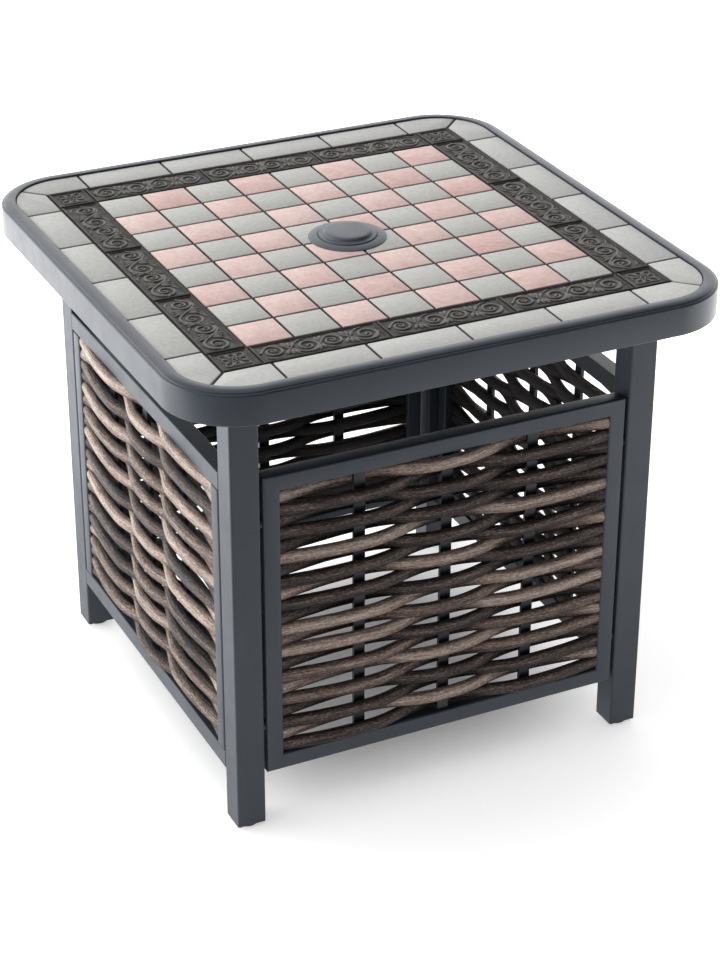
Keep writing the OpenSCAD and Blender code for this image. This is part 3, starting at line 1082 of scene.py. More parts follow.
@dataclass
class Rim:
    """The pressed rim: a skirt with a rolled edge, a shoulder and a raised lip."""

    half_mm: float = 279.5
    corner_mm: float = 72.0
    top_mm: float = RIM_TOP_MM
    skirt_mm: float = 33.0
    sheet_mm: float = 1.5
    lip_mm: float = 12.1
    lip_height_mm: float = 2.5
    shoulder_mm: float = 2.4
    edge_mm: float = 2.4
    crown: float = 0.32
    inner_mm: float = 0.9
    bend_mm: float = 1.2
    sink_mm: float = 0.12
    board_mm: float = BOARD_LOW_MM
    corner_steps: int = 28
    dome_steps: int = 12

    def path(self) -> list[tuple[Vector, Vector]]:
        """Places round the rim's face, each with its outward direction.

        Returns:
            The places and directions, in millimetres.
        """
        places = []
        flat = self.half_mm - self.corner_mm
        for quarter in range(4):
            for k in range(self.corner_steps + 1):
                angle = math.radians(90 * (quarter + k / self.corner_steps))
                out = Vector((math.cos(angle), math.sin(angle), 0))
                centre = Vector((flat, flat, 0))
                centre.rotate(Matrix.Rotation(math.radians(90 * quarter), 3, "Z"))
                places.append((centre + out * self.corner_mm, out))
        return places

    def sweep(self, name: str, section: Sequence[Point],
              finish: bpy.types.Material) -> bpy.types.Object:
        """Sweeps a closed section round the rim.

        Args:
            name: The piece's name.
            section: Offset from the rim's face and height of each point, in millimetres.
            finish: The material.

        Returns:
            The piece.
        """
        form = bmesh.new()
        rings = []
        for place, out in self.path():
            ring = []
            for offset, height in section:
                spot = place + out * offset
                ring.append(form.verts.new((spot.x * MM, spot.y * MM, height * MM)))
            rings.append(ring)
        skin(form, rings, closed=True)
        return piece_of(name, mesh_of(name, form), finish)

    def skirt_section(self) -> list[Point]:
        """The sheet: a double hem, a rolled lower edge, the face, the shoulder.

        Returns:
            Offset and height of each point.
        """
        low, hem = self.top_mm - self.skirt_mm, 2 * self.sheet_mm
        shoulder = self.top_mm - self.lip_height_mm
        roll = arc((-hem / 2, low + hem / 2), hem / 2, 180, 360, steps=8)
        edge = arc((-self.edge_mm, shoulder - self.edge_mm), self.edge_mm, 0, 90, steps=10)
        inner, ledge = self.sheet_mm, -self.shoulder_mm - self.lip_mm
        back = [(ledge, shoulder), (ledge, shoulder - inner),
                (-inner - self.bend_mm, shoulder - inner),
                (-inner, shoulder - inner - self.bend_mm), (-inner, self.board_mm),
                (-hem, self.board_mm)]
        return roll + edge + back

    def lip_section(self) -> list[Point]:
        """The lip: a steep inner edge, a crown near the tiles and a long fall outwards.

        Returns:
            Offset and height of each point.
        """
        outer, inner = -self.shoulder_mm, -self.shoulder_mm - self.lip_mm
        foot = self.top_mm - self.lip_height_mm
        fall = self.lip_mm * (1 - self.crown)
        turns = [math.pi / 2 * k / self.dome_steps for k in range(self.dome_steps + 1)]
        dome = [(outer - fall * (1 - math.cos(a)), foot + self.lip_height_mm * math.sin(a))
                for a in turns]
        low = self.inner_mm
        edge = arc((inner + low, self.top_mm - self.sink_mm - low), low, 90, 180, steps=6)
        return [(inner, foot)] + dome + edge

    def build(self, finishes: Finishes) -> None:
        """Makes the skirt and the lip.

        Args:
            finishes: The table's finishes.
        """
        skirt = self.sweep("rim_skirt", self.skirt_section(), finishes["rim_coat"])
        join_frame(skirt, Body.TABLE, "rim_paint", "top_apron")
        lip = self.sweep("rim_lip", self.lip_section(), finishes["rim_coat"])
        join_frame(lip, Body.TABLE, "lip_paint", "top_lip")


@dataclass
class TiledTop:
    """The tiles: a checker field, a relief band with corner rosettes, and a plain border."""

    top_mm: float = TILE_TOP_MM
    thick_mm: float = 8.0
    joint_mm: float = 3.0
    pitch_mm: float = 47.25
    count: int = 8
    hole_mm: float = 29.5
    band_mm: float = 39.0
    scrolls: int = 3
    border_pitch_mm: float = 91.0
    outer_mm: float = 264.0
    outer_corner_mm: float = 56.5
    arris_mm: float = 0.45
    ground_mm: float = 0.75
    frame_mm: float = 0.8
    ridge_mm: float = 0.45
    slope_mm: float = 0.35
    crest_mm: float = 0.4
    groove_mm: float = 0.9
    bead_share: float = 0.7
    border_half: int = 3
    seed: int = 11

    @property
    def field_mm(self) -> float:
        """Half width of the checker field."""
        return self.count * self.pitch_mm / 2

    @property
    def band_half_mm(self) -> float:
        """Half width of the relief band's outer edge."""
        return self.field_mm + self.band_mm

    def plain(self, name: str, outlines: Iterable[Sequence[Point]],
              top_mm: float) -> bpy.types.Mesh:
        """Plain tiles in one mesh.

        Args:
            name: The mesh's name.
            outlines: Corners of each tile in millimetres.
            top_mm: Height of their faces.

        Returns:
            The mesh.
        """
        whole = bmesh.new()
        for outline in outlines:
            corners = [(x * MM, y * MM) for x, y in outline]
            slab(whole, corners, top_mm * MM, self.thick_mm * MM)
        high = [e for e in whole.edges
                if all(abs(v.co.z - top_mm * MM) < TINY for v in e.verts)]
        bmesh.ops.bevel(whole, geom=high, offset=self.arris_mm * MM, segments=2,
                        profile=0.5, affect="EDGES")
        return mesh_of(name, whole, angle=50.0)

    def checker(self, finishes: Finishes) -> None:
        """Lays the pink and the grey squares.

        Args:
            finishes: The table's finishes.
        """
        half = (self.pitch_mm - self.joint_mm) / 2
        square = [(-half, -half), (half, -half), (half, half), (-half, half)]
        recipe = CheckerRecipe()
        for parity, word in enumerate(("pink", "grey")):
            name = f"{word}_squares"
            piece = recipe.run(name, self.plain(f"{name}_tile", [square], top_mm=0.0),
                               Count=self.count, Pitch=self.pitch_mm * MM, Parity=parity,
                               Hole_Radius=self.hole_mm * MM, Top=self.top_mm * MM,
                               Seed=self.seed + parity, Material=finishes[f"{word}_stone"])
            join_frame(piece, Body.TABLE, f"{word}_tile", f"tiles_{word}")

    def border_outlines(self) -> list[list[Point]]:
        """Outlines of the six border tiles along the front, mitred at the corners.

        Returns:
            The corners of each tile, in millimetres.
        """
        gap = self.joint_mm / 2
        near, far = self.band_half_mm + gap, self.outer_mm
        joints = [k * self.border_pitch_mm for k in range(self.border_half)]
        tiles = [[(a + gap, -far), (b - gap, -far), (b - gap, -near), (a + gap, -near)]
                 for a, b in zip(joints, joints[1:])]
        mitre = gap * math.sqrt(2)
        centre = self.outer_mm - self.outer_corner_mm
        short = math.degrees(math.asin(gap / self.outer_corner_mm))
        turn = arc((centre, -centre), self.outer_corner_mm, -90, -45 - short, steps=10)
        corner = [(joints[-1] + gap, -near), (joints[-1] + gap, -far)] + turn
        corner.append((near - mitre, -near))
        tiles.append(corner)
        mirrored = [[(-x, y) for x, y in tile][::-1] for tile in tiles]
        return tiles + mirrored

    def border(self, recipe: RoundRecipe, finishes: Finishes) -> None:
        """Lays the plain border.

        Args:
            recipe: Repeats tiles round the top.
            finishes: The table's finishes.
        """
        mesh = self.plain("border_row", self.border_outlines(), self.top_mm)
        piece = recipe.run("border_tiles", mesh, Count=1, Start=(0, 0, 0), Turns=4,
                           Material=finishes["border_stone"])
        join_frame(piece, Body.TABLE, "border_tile", "tiles_border")

    def relief_tile(self, name: str, width_mm: float, height_mm: float,
                    strokes: Iterable[Stroke]) -> bpy.types.Mesh:
        """A tile with a raised frame, a sunk ground and ornament strokes.

        Args:
            name: The mesh's name.
            width_mm: Its width.
            height_mm: Its other width.
            strokes: Ornament lines as x, y and half width of each point, in millimetres.

        Returns:
            The mesh, with the strokes as loose edges marked for the recipe.
        """
        form = bmesh.new()
        x, y = width_mm / 2 * MM, height_mm / 2 * MM
        crown = (self.top_mm + self.ridge_mm) * MM
        face = slab(form, [(-x, -y), (x, -y), (x, y), (-x, y)], crown,
                    (self.thick_mm + self.ridge_mm) * MM)
        sink, slope, crest = self.ground_mm + self.ridge_mm, self.slope_mm, self.crest_mm
        bead = sink * self.bead_share
        # Each step goes inwards and then up or down: arris, frame, ground, bead, ground
        for inset, drop in ((crest, 0.0), (self.frame_mm, 0.0), (slope, -sink),
                            (self.groove_mm, 0.0), (slope, bead), (crest, 0.0), (slope, -bead)):
            bmesh.ops.inset_individual(form, faces=[face], thickness=inset * MM,
                                       depth=drop * MM)
        for corner in form.verts:
            outside = abs(corner.co.x) > x - TINY or abs(corner.co.y) > y - TINY
            if corner.co.z > self.top_mm * MM and outside:
                corner.co.z = self.top_mm * MM
        mark = form.verts.layers.bool.new("stroke")
        wide = form.verts.layers.float.new("wide")
        floor = (self.top_mm - self.ground_mm) * MM
        for stroke in strokes:
            last = None
            for px, py, half in stroke:
                point = form.verts.new((px * MM, py * MM, floor))
                point[mark], point[wide] = True, half * MM
                if last:
                    form.edges.new((last, point))
                last = point
        return mesh_of(name, form, angle=25.0)

    def band(self, recipe: RoundRecipe, finishes: Finishes) -> None:
        """Lays the relief band and its corners.

        Args:
            recipe: Repeats tiles round the top.
            finishes: The table's finishes.
        """
        pitch = 2 * self.field_mm / self.scrolls
        middle = self.field_mm + self.band_mm / 2
        depth = self.band_mm - self.joint_mm
        scroll = self.relief_tile("scroll_tile", pitch - self.joint_mm, depth,
                                  Scroll().strokes())
        piece = recipe.run("scroll_tiles", scroll, Count=self.scrolls, Pitch=pitch * MM,
                           Start=((-self.field_mm + pitch / 2) * MM, -middle * MM, 0),
                           Turns=4, Material=finishes["scroll_relief"])
        join_frame(piece, Body.TABLE, "relief_tile", "tiles_scroll")
        rosette = self.relief_tile("rosette_tile", depth, depth, Rosette().strokes())
        piece = recipe.run("rosette_tiles", rosette, Count=1,
                           Start=(-middle * MM, -middle * MM, 0), Turns=4,
                           Material=finishes["scroll_relief"])
        join_frame(piece, Body.TABLE, "relief_tile", "tiles_corner")

    def build(self, finishes: Finishes) -> None:
        """Lays every tile.

        Args:
            finishes: The table's finishes.
        """
        self.checker(finishes)
        recipe = RoundRecipe()
        self.border(recipe, finishes)
        self.band(recipe, finishes)


def leaf(start: Point, pull: Point, end: Point, half: float, steps: int = 9,
         thinnest: float = 0.25) -> Stroke:
    """A leaf: a bent stroke that swells in its first half and ends in a point.

    Args:
        start: Where it starts.
        pull: The point that bends it.
        end: Where it ends.
        half: Its greatest half width.
        steps: Steps along it.
        thinnest: Its least half width.

    Returns:
        x, y and half width of each point.
    """
    points = []
    for k in range(steps + 1):
        t = k / steps
        a, b, c = (1 - t) ** 2, 2 * t * (1 - t), t * t
        # It starts a little swollen and ends just short of nothing
        swell = math.sin(math.pi * (0.14 + 0.84 * t)) ** 0.8
        points.append((a * start[0] + b * pull[0] + c * end[0],
                       a * start[1] + b * pull[1] + c * end[1], max(half * swell, thinnest)))
    return points


@dataclass
class Scroll:
    """A running scroll: big and small volutes on a waving stem, with leaves between them."""

    volutes: int = 4
    step_mm: float = 28.8
    pair_mm: float = 2.4
    swing_mm: float = 11.8
    stem_mm: float = 1.5
    stem_steps: int = 72
    curls_mm: tuple[float, float] = (10.2, 11.8)
    curl_steps: int = 44
    curl_start: float = 100.0
    curl_rise_mm: float = 0.4
    eye_mm: float = 1.9
    turns: float = 1.45
    outer_leaf: tuple[Point, ...] = ((-9.0, -9.0), (-5.0, -14.6), (3.0, -13.8))
    outer_half_mm: float = 1.3
    inner_leaf: tuple[Point, ...] = ((-2.0, 3.0), (0.0, 0.0), (2.0, -3.4))
    inner_half_mm: float = 1.5
    # Start, pull and end of the first leaf of a fan, each with its shift to the next leaf
    fan_leaf: tuple[tuple[Point, Point], ...] = (
        ((-2.6, 4.6), (2.0, -1.5)), ((-2.8, 9.6), (4.6, -0.9)), ((-5.4, 13.9), (5.6, -1.5)))
    fan_half_mm: float = 2.1
    fan_blades: tuple[int, ...] = (3, 2, 3)

    def stem(self) -> Stroke:
        """The waving stem, from end to end of the tile.

        Returns:
            The stroke.
        """
        half = self.volutes * self.step_mm / 2
        points = []
        for k in range(self.stem_steps + 1):
            run = 2 * half * k / self.stem_steps
            rise = self.swing_mm * math.sin(math.pi * run / self.step_mm)
            points.append((run - half, rise, self.stem_mm))
        return points

    def volute(self, middle: float, way: int, reach: float) -> Stroke:
        """One volute that curls inwards about its middle.

        Args:
            middle: Its middle, along the tile.
            way: 1 when it curls over the stem, -1 when under it.
            reach: Its radius.

        Returns:
            The stroke.
        """
        curl = []
        for s in range(self.curl_steps + 1):
            t = s / self.curl_steps
            angle = way * (math.radians(self.curl_start) - t * self.turns * math.tau)
            radius = reach * (1 - t) ** 0.9 + self.eye_mm * t
            curl.append((middle + radius * math.cos(angle),
                         way * self.curl_rise_mm + radius * math.sin(angle),
                         self.stem_mm * (1.2 - 0.4 * t)))
        return curl

    def fan(self, edge: float, way: int, blades: int) -> list[Stroke]:
        """Leaves that spread from the stem where it crosses the tile's middle, on both sides.

        Args:
            edge: Where the stem crosses, along the tile.
            way: 1 when the leaves before the crossing rise, -1 when they fall.
            blades: Leaves on each side.

        Returns:
            The strokes.
        """
        lines = []
        for side in (-1, 1):
            for j in range(blades):
                ends = [(edge + side * (x + dx * j), side * way * (y + dy * j))
                        for (x, y), (dx, dy) in self.fan_leaf]
                lines.append(leaf(*ends, self.fan_half_mm))
        return lines

    def strokes(self) -> list[Stroke]:
        """The ornament's strokes in the tile's own plane.

        Returns:
            The strokes.
        """
        half = self.volutes * self.step_mm / 2
        lines = [self.stem()]
        for k in range(self.volutes):
            way = 1 if k % 2 == 0 else -1
            middle = -half + (k + 0.5) * self.step_mm
            edge = middle + self.step_mm / 2
            middle += self.pair_mm if k % 2 else -self.pair_mm
            lines.append(self.volute(middle, way, self.curls_mm[k % 2]))
            if k < self.volutes - 1:
                lines += self.fan(edge, way, self.fan_blades[k])
            for ends, wide in ((self.outer_leaf, self.outer_half_mm),
                               (self.inner_leaf, self.inner_half_mm)):
                lines.append(leaf(*((middle + x, way * y) for x, y in ends), wide))
        return lines


@dataclass
class Rosette:
    """A rosette of eight looped leaves round an eye, with small leaves in the corners."""

    leaves: int = 8
    loops_mm: tuple[float, float] = (11.6, 15.2)
    loop_foot_mm: float = 4.0
    loop_half_mm: float = 3.1
    line_mm: float = 1.0
    eye_mm: float = 2.5
    steps: int = 20
    # Distance from the eye and turn in radians of the start, pull and end of a small leaf
    small_leaf: tuple[Point, ...] = ((6.0, 0.36), (11.0, 0.3), (13.4, 0.5))
    small_half_mm: float = 1.3

    def loop(self, turn: float, reach: float) -> Stroke:
        """One looped leaf.

        Args:
            turn: Its direction in radians.
            reach: How far it reaches from the eye.

        Returns:
            The stroke.
        """
        c, s = math.cos(turn), math.sin(turn)
        points = []
        for step in range(self.steps + 1):
            t = step / self.steps
            out = self.loop_foot_mm + (reach - self.loop_foot_mm) * math.sin(math.pi * t)
            side = self.loop_half_mm * math.sin(math.tau * t)
            points.append((out * c - side * s, out * s + side * c, self.line_mm))
        return points

    def strokes(self) -> list[Stroke]:
        """The ornament's strokes in the tile's own plane.

        Returns:
            The strokes.
        """
        lines = []
        for k in range(self.leaves):
            turn = math.tau * k / self.leaves
            lines.append(self.loop(turn, self.loops_mm[k % 2]))
            for side in (-1, 1):
                ends = [(r * math.cos(turn + side * a), r * math.sin(turn + side * a))
                        for r, a in self.small_leaf]
                lines.append(leaf(*ends, self.small_half_mm))
        turns = [math.tau * step / self.steps for step in range(self.steps + 1)]
        eye = [(self.eye_mm * math.cos(a), self.eye_mm * math.sin(a), self.line_mm)
               for a in turns]
        return lines + [eye]


@dataclass
class UmbrellaHole:
    """The ring in the umbrella hole and the plug that lifts out of it."""

    tile_mm: float = TILE_TOP_MM
    board_mm: float = BOARD_LOW_MM
    collar_mm: float = 26.0
    collar_wall_mm: float = 2.5
    flange_mm: float = 38.3
    flange_edge_mm: float = 0.8
    flange_top_mm: float = 2.6
    flange_ease_mm: float = 0.35
    dome_steps: int = 8
    soft_mm: float = 0.5
    seat_mm: float = 29.2
    seat_depth_mm: float = 1.3
    disc_mm: float = 28.7
    disc_thick_mm: float = 2.4
    knob_mm: float = 25.0
    knob_height_mm: float = 3.4
    knob_round_mm: float = 3.2
    spigot_mm: float = 25.5
    spigot_wall_mm: float = 2.0
    spigot_length_mm: float = 14.0

    def ring_section(self) -> list[Point]:
        """The ring: a low domed flange, a seat for the plug and a collar.

        Returns:
            Radius and height of each point, in metres.
        """
        up, ease, soft = self.flange_top_mm, self.flange_ease_mm, self.soft_mm
        rise = up - self.flange_edge_mm
        wide = self.flange_mm - self.seat_mm
        dome = []
        for k in range(self.dome_steps + 1):
            t = k / self.dome_steps
            dome.append((self.flange_mm - ease - (wide - 2 * ease) * t,
                         self.flange_edge_mm + rise * math.sin(math.pi / 2 * t) ** 0.9))
        seat = up - self.seat_depth_mm
        wall = self.collar_mm + self.collar_wall_mm
        foot = self.board_mm - self.tile_mm
        points = [(self.flange_mm, 0.0), (self.flange_mm, self.flange_edge_mm - ease)] + dome
        points += [(self.seat_mm, up - 0.3), (self.seat_mm, seat), (self.collar_mm + soft, seat),
                   (self.collar_mm, seat - soft), (self.collar_mm, foot), (wall, foot),
                   (wall, 0.0)]
        return [(r * MM, (self.tile_mm + z) * MM) for r, z in points]

    def plug_section(self) -> list[Point]:
        """The plug: a disc, a rounded knob with a flat crown, and a hollow spigot.

        Returns:
            Radius and height of each point, in metres.
        """
        disc, soft = self.disc_thick_mm, self.soft_mm
        top = disc + self.knob_height_mm
        # The crown falls a little from the middle, and small steps ease every edge
        crown = [(0, top + 0.5), (8, top + 0.47), (self.knob_mm - 9, top + 0.2)]
        shoulder = arc((self.knob_mm - 4.2, top - 3.1), self.knob_round_mm, 80, 8, steps=8)
        foot = [(self.knob_mm - 0.25, disc + 0.35), (self.knob_mm + 0.15, disc),
                (self.disc_mm - 0.7, disc), (self.disc_mm - 0.2, disc - 0.2),
                (self.disc_mm, disc - 0.7), (self.disc_mm, 0.0), (self.spigot_mm, 0.0),
                (self.spigot_mm, -self.spigot_length_mm + soft),
                (self.spigot_mm - soft, -self.spigot_length_mm)]
        inner = self.spigot_mm - self.spigot_wall_mm
        bore = [(inner, -self.spigot_length_mm), (inner, 0.0), (0, 0.0)]
        base = self.tile_mm + self.flange_top_mm - self.seat_depth_mm
        return [(r * MM, (base + z) * MM) for r, z in crown + shoulder + foot + bore]

    def turned(self, name: str, section: Sequence[Point],
               finish: bpy.types.Material) -> bpy.types.Object:
        """A turned piece.

        Args:
            name: Its name.
            section: Radius and height of each point.
            finish: Its material.

        Returns:
            The piece.
        """
        form = bmesh.new()
        lathe(form, section)
        return piece_of(name, mesh_of(name, form, angle=32.0), finish)

    def build(self, finishes: Finishes) -> None:
        """Makes the ring and the plug.

        Args:
            finishes: The table's finishes.
        """
        ring = self.turned("hole_flange", self.ring_section(), finishes["ring_plastic"])
        join_frame(ring, Body.TABLE, "ring_plastic", "hole_ring")
        plug = self.turned("hole_cap", self.plug_section(), finishes["ring_plastic"])
        join_frame(plug, Body.PLUG, "plug_plastic", "hole_plug")


# The base


@dataclass(frozen=True)
class Opening:
    """The opening that a weave fills.

    With a lead of 1 its top strand crosses the middle strap outside it, with -1 inside.
    """

    half_mm: float
    low_mm: float
    height_mm: float
    lead: int = 1


@dataclass
class WovenPanel:
    """One woven opening: resin strands in a plain weave over three upright straps."""

    side: Side
    opening: Opening
    order: str
    recipe: StrandRecipe
    plane_mm: float = 215.5
    strand_mm: float = STRAND_HEIGHT_MM
    strand_thick_mm: float = STRAND_THICK_MM
    strap_pitch_mm: float = 91.0
    strap_mm: float = 11.5
    strap_thick_mm: float = 3.6
    rest_mm: float = 2.0
    gap_mm: float = 0.3
    drift_mm: float = 0.5
    drift_turn: float = 1.1
    drift_step: float = 20.0
    wander_mm: float = 0.9
    waves: tuple[float, float] = (0.7, 1.6)
    uneven_mm: float = 0.5
    buried_mm: float = 2.5
    steps: int = 72
    path_seed: int = 31
    twist_seed: int = 4

    def swing(self, x: float) -> float:
        """How far a strand stands from the panel's plane.

        Args:
            x: Distance from the middle strap in millimetres, to either side.

        Returns:
            1 at the middle strap, -1 at its neighbours, 0 at the bars.
        """
        level = self.strap_mm / 2 + self.rest_mm
        pitch = self.strap_pitch_mm
        if abs(x) <= pitch:
            share = max(abs(x) - level, 0) / (pitch - 2 * level)
            return math.cos(math.pi * min(share, 1))
        share = max(abs(x) - pitch - level, 0) / (self.opening.half_mm - pitch - level)
        return -math.cos(math.pi / 2 * min(share, 1))

    def tone(self, number: int) -> float:
        """The tone of a strand, counted from the top."""
        return Tone(self.order[number]).level

    def course(self, number: int, parity: Parity,
               luck: random.Random) -> tuple[list[Vector], list[float]]:
        """The path of one strand.

        Args:
            number: The strand, counted from the top.
            parity: Which side of the middle strap it passes.
            luck: What its unevenness is drawn from.

        Returns:
            The points of its path, and how far inwards it stands at each, from -1 to 1.
        """
        count, half = len(self.order), self.opening.half_mm
        pitch = (self.opening.height_mm - 2 * self.drift_mm) / count
        z = self.opening.low_mm + self.opening.height_mm - self.drift_mm - (number + 0.5) * pitch
        phase, waves = luck.uniform(0, math.tau), luck.uniform(*self.waves)
        loose = 0.0 if number in (0, count - 1) else 1.0
        z += luck.uniform(-self.uneven_mm, self.uneven_mm) * loose
        face = -self.opening.lead if parity is Parity.EVEN else self.opening.lead
        reach = (self.strap_thick_mm + self.strand_thick_mm) / 2 + self.gap_mm
        points, dips = [], []
        for s in range(self.steps + 1):
            x = (half + self.buried_mm) * (2 * s / self.steps - 1)
            drift = math.radians(x * self.drift_turn + number * self.drift_step)
            rise = self.drift_mm * math.sin(drift)
            rise += self.wander_mm * loose * math.sin(phase + waves * math.pi * x / half)
            dips.append(face * self.swing(x))
            points.append(self.side.place(x, dips[-1] * reach - self.plane_mm, z + rise))
        return points, dips

    def paths(self, parity: Parity) -> bpy.types.Mesh:
        """The paths of every second strand, as a mesh of edges with the strands' tones.

        Args:
            parity: Which strands.

        Returns:
            The mesh.
        """
        points, edges, tones, numbers, dips = [], [], [], [], []
        luck = random.Random(self.path_seed + abs(self.side.value) + parity.value)
        for number in range(parity.value, len(self.order), 2):
            places, stands = self.course(number, parity, luck)
            edges += [(len(points) + s - 1, len(points) + s) for s in range(1, len(places))]
            points += places
            dips += stands
            tones += [self.tone(number)] * len(places)
            numbers += [number + 1.0] * len(places)
        mesh = bpy.data.meshes.new(f"{self.side.word}_paths")
        mesh.from_pydata(points, edges, [])
        for name, values in (("tone", tones), ("strand", numbers), ("dip", dips)):
            mesh.attributes.new(name, "FLOAT", "POINT").data.foreach_set("value", values)
        return mesh

    def build(self, finishes: Finishes) -> None:
        """Weaves the panel in two pieces, one for each parity.

        Args:
            finishes: The table's finishes.
        """
        for parity in Parity:
            word = parity.name.lower()
            piece = self.recipe.run(
                f"wicker_{self.side.word}_{word}", self.paths(parity),
                Height=self.strand_mm * MM, Thickness=self.strand_thick_mm * MM,
                Seed=self.twist_seed + abs(self.side.value) + parity.value,
                Material=finishes["wicker_resin"])
            join_frame(piece, Body.TABLE, f"strand_{word}",
                       f"{self.side.word}_strands_{word}")


@dataclass
class PanelFrame:
    """The frame of a front or back panel: one square tube welded at its mitred corners."""

    side: Side
    half_mm: float = 189.5
    low_mm: float = 59.0
    high_mm: float = 378.5
    bar_mm: float = 17.0
    face_mm: float = BAR_FACE_MM
    round_mm: float = 2.2

    def build(self, finishes: Finishes) -> None:
        """Sweeps the tube round its four corners.

        Args:
            finishes: The table's finishes.
        """
        form = bmesh.new()
        section = rounded(self.bar_mm, self.bar_mm, self.round_mm)
        low, high = (self.low_mm, 1), (self.high_mm, -1)
        rings = []
        for end, (edge, way) in ((-1, low), (1, low), (1, high), (-1, high)):
            places = [self.side.place(end * (self.half_mm - across), depth - self.face_mm,
                                      edge + way * across) for across, depth in section]
            rings.append([form.verts.new(place) for place in places])
        skin(form, rings, closed=True)
        word = self.side.word
        name = f"{word}_panel_frame"
        piece = piece_of(name, mesh_of(name, form), finishes["frame_coat"])
        join_frame(piece, Body.TABLE, "frame_paint", f"{word}_top_bar", f"{word}_low_bar",
                   f"{word}_side_bars")


@dataclass
class InfillBars:
    """The two loose bars that hold a side weave, set off from legs and rails by a dark seam."""

    side: Side
    inner_mm: float = 174.4
    width_mm: float = 16.1
    low_mm: float = 75.6
    high_mm: float = 358.3
    face_mm: float = BAR_FACE_MM
    depth_mm: float = 18.0
    round_mm: float = 1.8
    ease_mm: float = 0.7

    def build(self, finishes: Finishes) -> None:
        """Raises both bars.

        Args:
            finishes: The table's finishes.
        """
        form, width, depth, ease = bmesh.new(), self.width_mm, self.depth_mm, self.ease_mm
        section = rounded(width, depth, self.round_mm)
        for way in (-1, 1):
            rings = []
            for z, inset in ((self.low_mm, ease), (self.low_mm + ease, 0.0),
                             (self.high_mm - ease, 0.0), (self.high_mm, ease)):
                narrow, thin = 1 - 2 * inset / width, 1 - 2 * inset / depth
                ring = []
                for x, y in section:
                    across = self.inner_mm + width / 2 + (x - width / 2) * narrow
                    out = depth / 2 + (y - depth / 2) * thin - self.face_mm
                    ring.append(form.verts.new(self.side.place(way * across, out, z)))
                rings.append(ring)
            skin(form, rings, closed=False)
        word = self.side.word
        name = f"{word}_weave_bars"
        piece = piece_of(name, mesh_of(name, form), finishes["frame_coat"])
        join_frame(piece, Body.TABLE, "frame_paint", f"{word}_infill_bars")


@dataclass
class FootGlides:
    """Turned plastic pads under the legs, each with a stub that is pushed into its leg."""

    middle_mm: float = 207.0
    pad_mm: float = 11.6
    height_mm: float = 4.0
    stub_mm: float = 9.5
    stub_length_mm: float = 12.0
    soft_mm: float = 0.3
    ease_mm: float = 0.9

    def build(self, finishes: Finishes) -> None:
        """Turns the four pads in one piece.

        Args:
            finishes: The table's finishes.
        """
        top, ease, soft = self.height_mm, self.ease_mm, self.soft_mm
        section = [(0, top + self.stub_length_mm), (self.stub_mm, top + self.stub_length_mm),
                   (self.stub_mm, top), (self.pad_mm - soft, top), (self.pad_mm, top - soft)]
        section += arc((self.pad_mm - ease, ease), ease, 0, -90, steps=5) + [(0, 0)]
        whole = bmesh.new()
        for x in (-1, 1):
            for y in (-1, 1):
                form = bmesh.new()
                lathe(form, [(r * MM, z * MM) for r, z in section], steps=40)
                bmesh.ops.translate(form, verts=form.verts,
                                    vec=Vector((x, y, 0)) * self.middle_mm * MM)
                part = bpy.data.meshes.new("glide")
                form.to_mesh(part)
                form.free()
                whole.from_mesh(part)
        piece = piece_of("foot_pads", mesh_of("foot_pads", whole), finishes["glide_rubber"])
        join_frame(piece, Body.TABLE, "glide_plastic", "foot_glides")


@dataclass
class Base:
    """The base: legs, rails and straps of the CAD frame, with pads, panel bars and weaves."""

    frame: dict
    panel: Opening = Opening(half_mm=171.5, low_mm=77.0, height_mm=283.5)
    flank: Opening = Opening(half_mm=174.4, low_mm=74.7, height_mm=284.5, lead=-1)
    # The tones of the strands from the top down
    fronts: str = "LDDDDLDDLDDLMLDMLMDDLD"
    lefts: str = "LLDDLMMMLDDLLMDMDLMMMD"
    backs: str = "MDLDDLMDDLDMDLDDLMDLDD"
    rights: str = "DLMDLDDMLDMLDDLMDLDMDL"

    def named(self, *endings: str) -> list[str]:
        """The frame's nodes whose names end in one of the words."""
        return [name for name in self.frame["nodes"] if name.endswith(endings)]

    def build(self, finishes: Finishes) -> None:
        """Coats the metal and weaves the panels.

        Args:
            finishes: The table's finishes.
        """
        legs = [name for name in self.frame["nodes"] if name.startswith("leg_")]
        finishes.coat(self.frame, "frame_coat", *legs, *self.named("_rail"), "panel_spacers")
        finishes.coat(self.frame, "strap_coat", *self.named("_straps"))
        braces = [name for name in self.frame["nodes"] if name.startswith("brace_")]
        finishes.coat(self.frame, "brace_coat", *braces, "pole_guide")
        FootGlides().build(finishes)
        finishes.coat(self.frame, "board_face", "tile_board")
        finishes.coat(self.frame, "brown_grout", "grout")
        recipe = StrandRecipe()
        for side, opening, order, holder in (
                (Side.FRONT, self.panel, self.fronts, PanelFrame),
                (Side.BACK, self.panel, self.backs, PanelFrame),
                (Side.LEFT, self.flank, self.lefts, InfillBars),
                (Side.RIGHT, self.flank, self.rights, InfillBars)):
            WovenPanel(side, opening, order, recipe).build(finishes)
            holder(side).build(finishes)


# The studio


@dataclass(frozen=True)
class Softbox:
    """A square light panel."""

    name: str
    place: tuple[float, float, float]
    target: tuple[float, float, float]
    width: float
    height: float
    power: float

    def hang(self) -> None:
        """Puts the light in the scene."""
        data = bpy.data.lights.new(self.name, "AREA")
        data.shape = "RECTANGLE"
        data.size, data.size_y, data.energy = self.width, self.height, self.power
        lamp = bpy.data.objects.new(self.name, data)
        aim = Vector(self.target) - Vector(self.place)
        lamp.location = self.place
        lamp.rotation_euler = aim.to_track_quat("-Z", "Y").to_euler()
        bpy.context.scene.collection.objects.link(lamp)


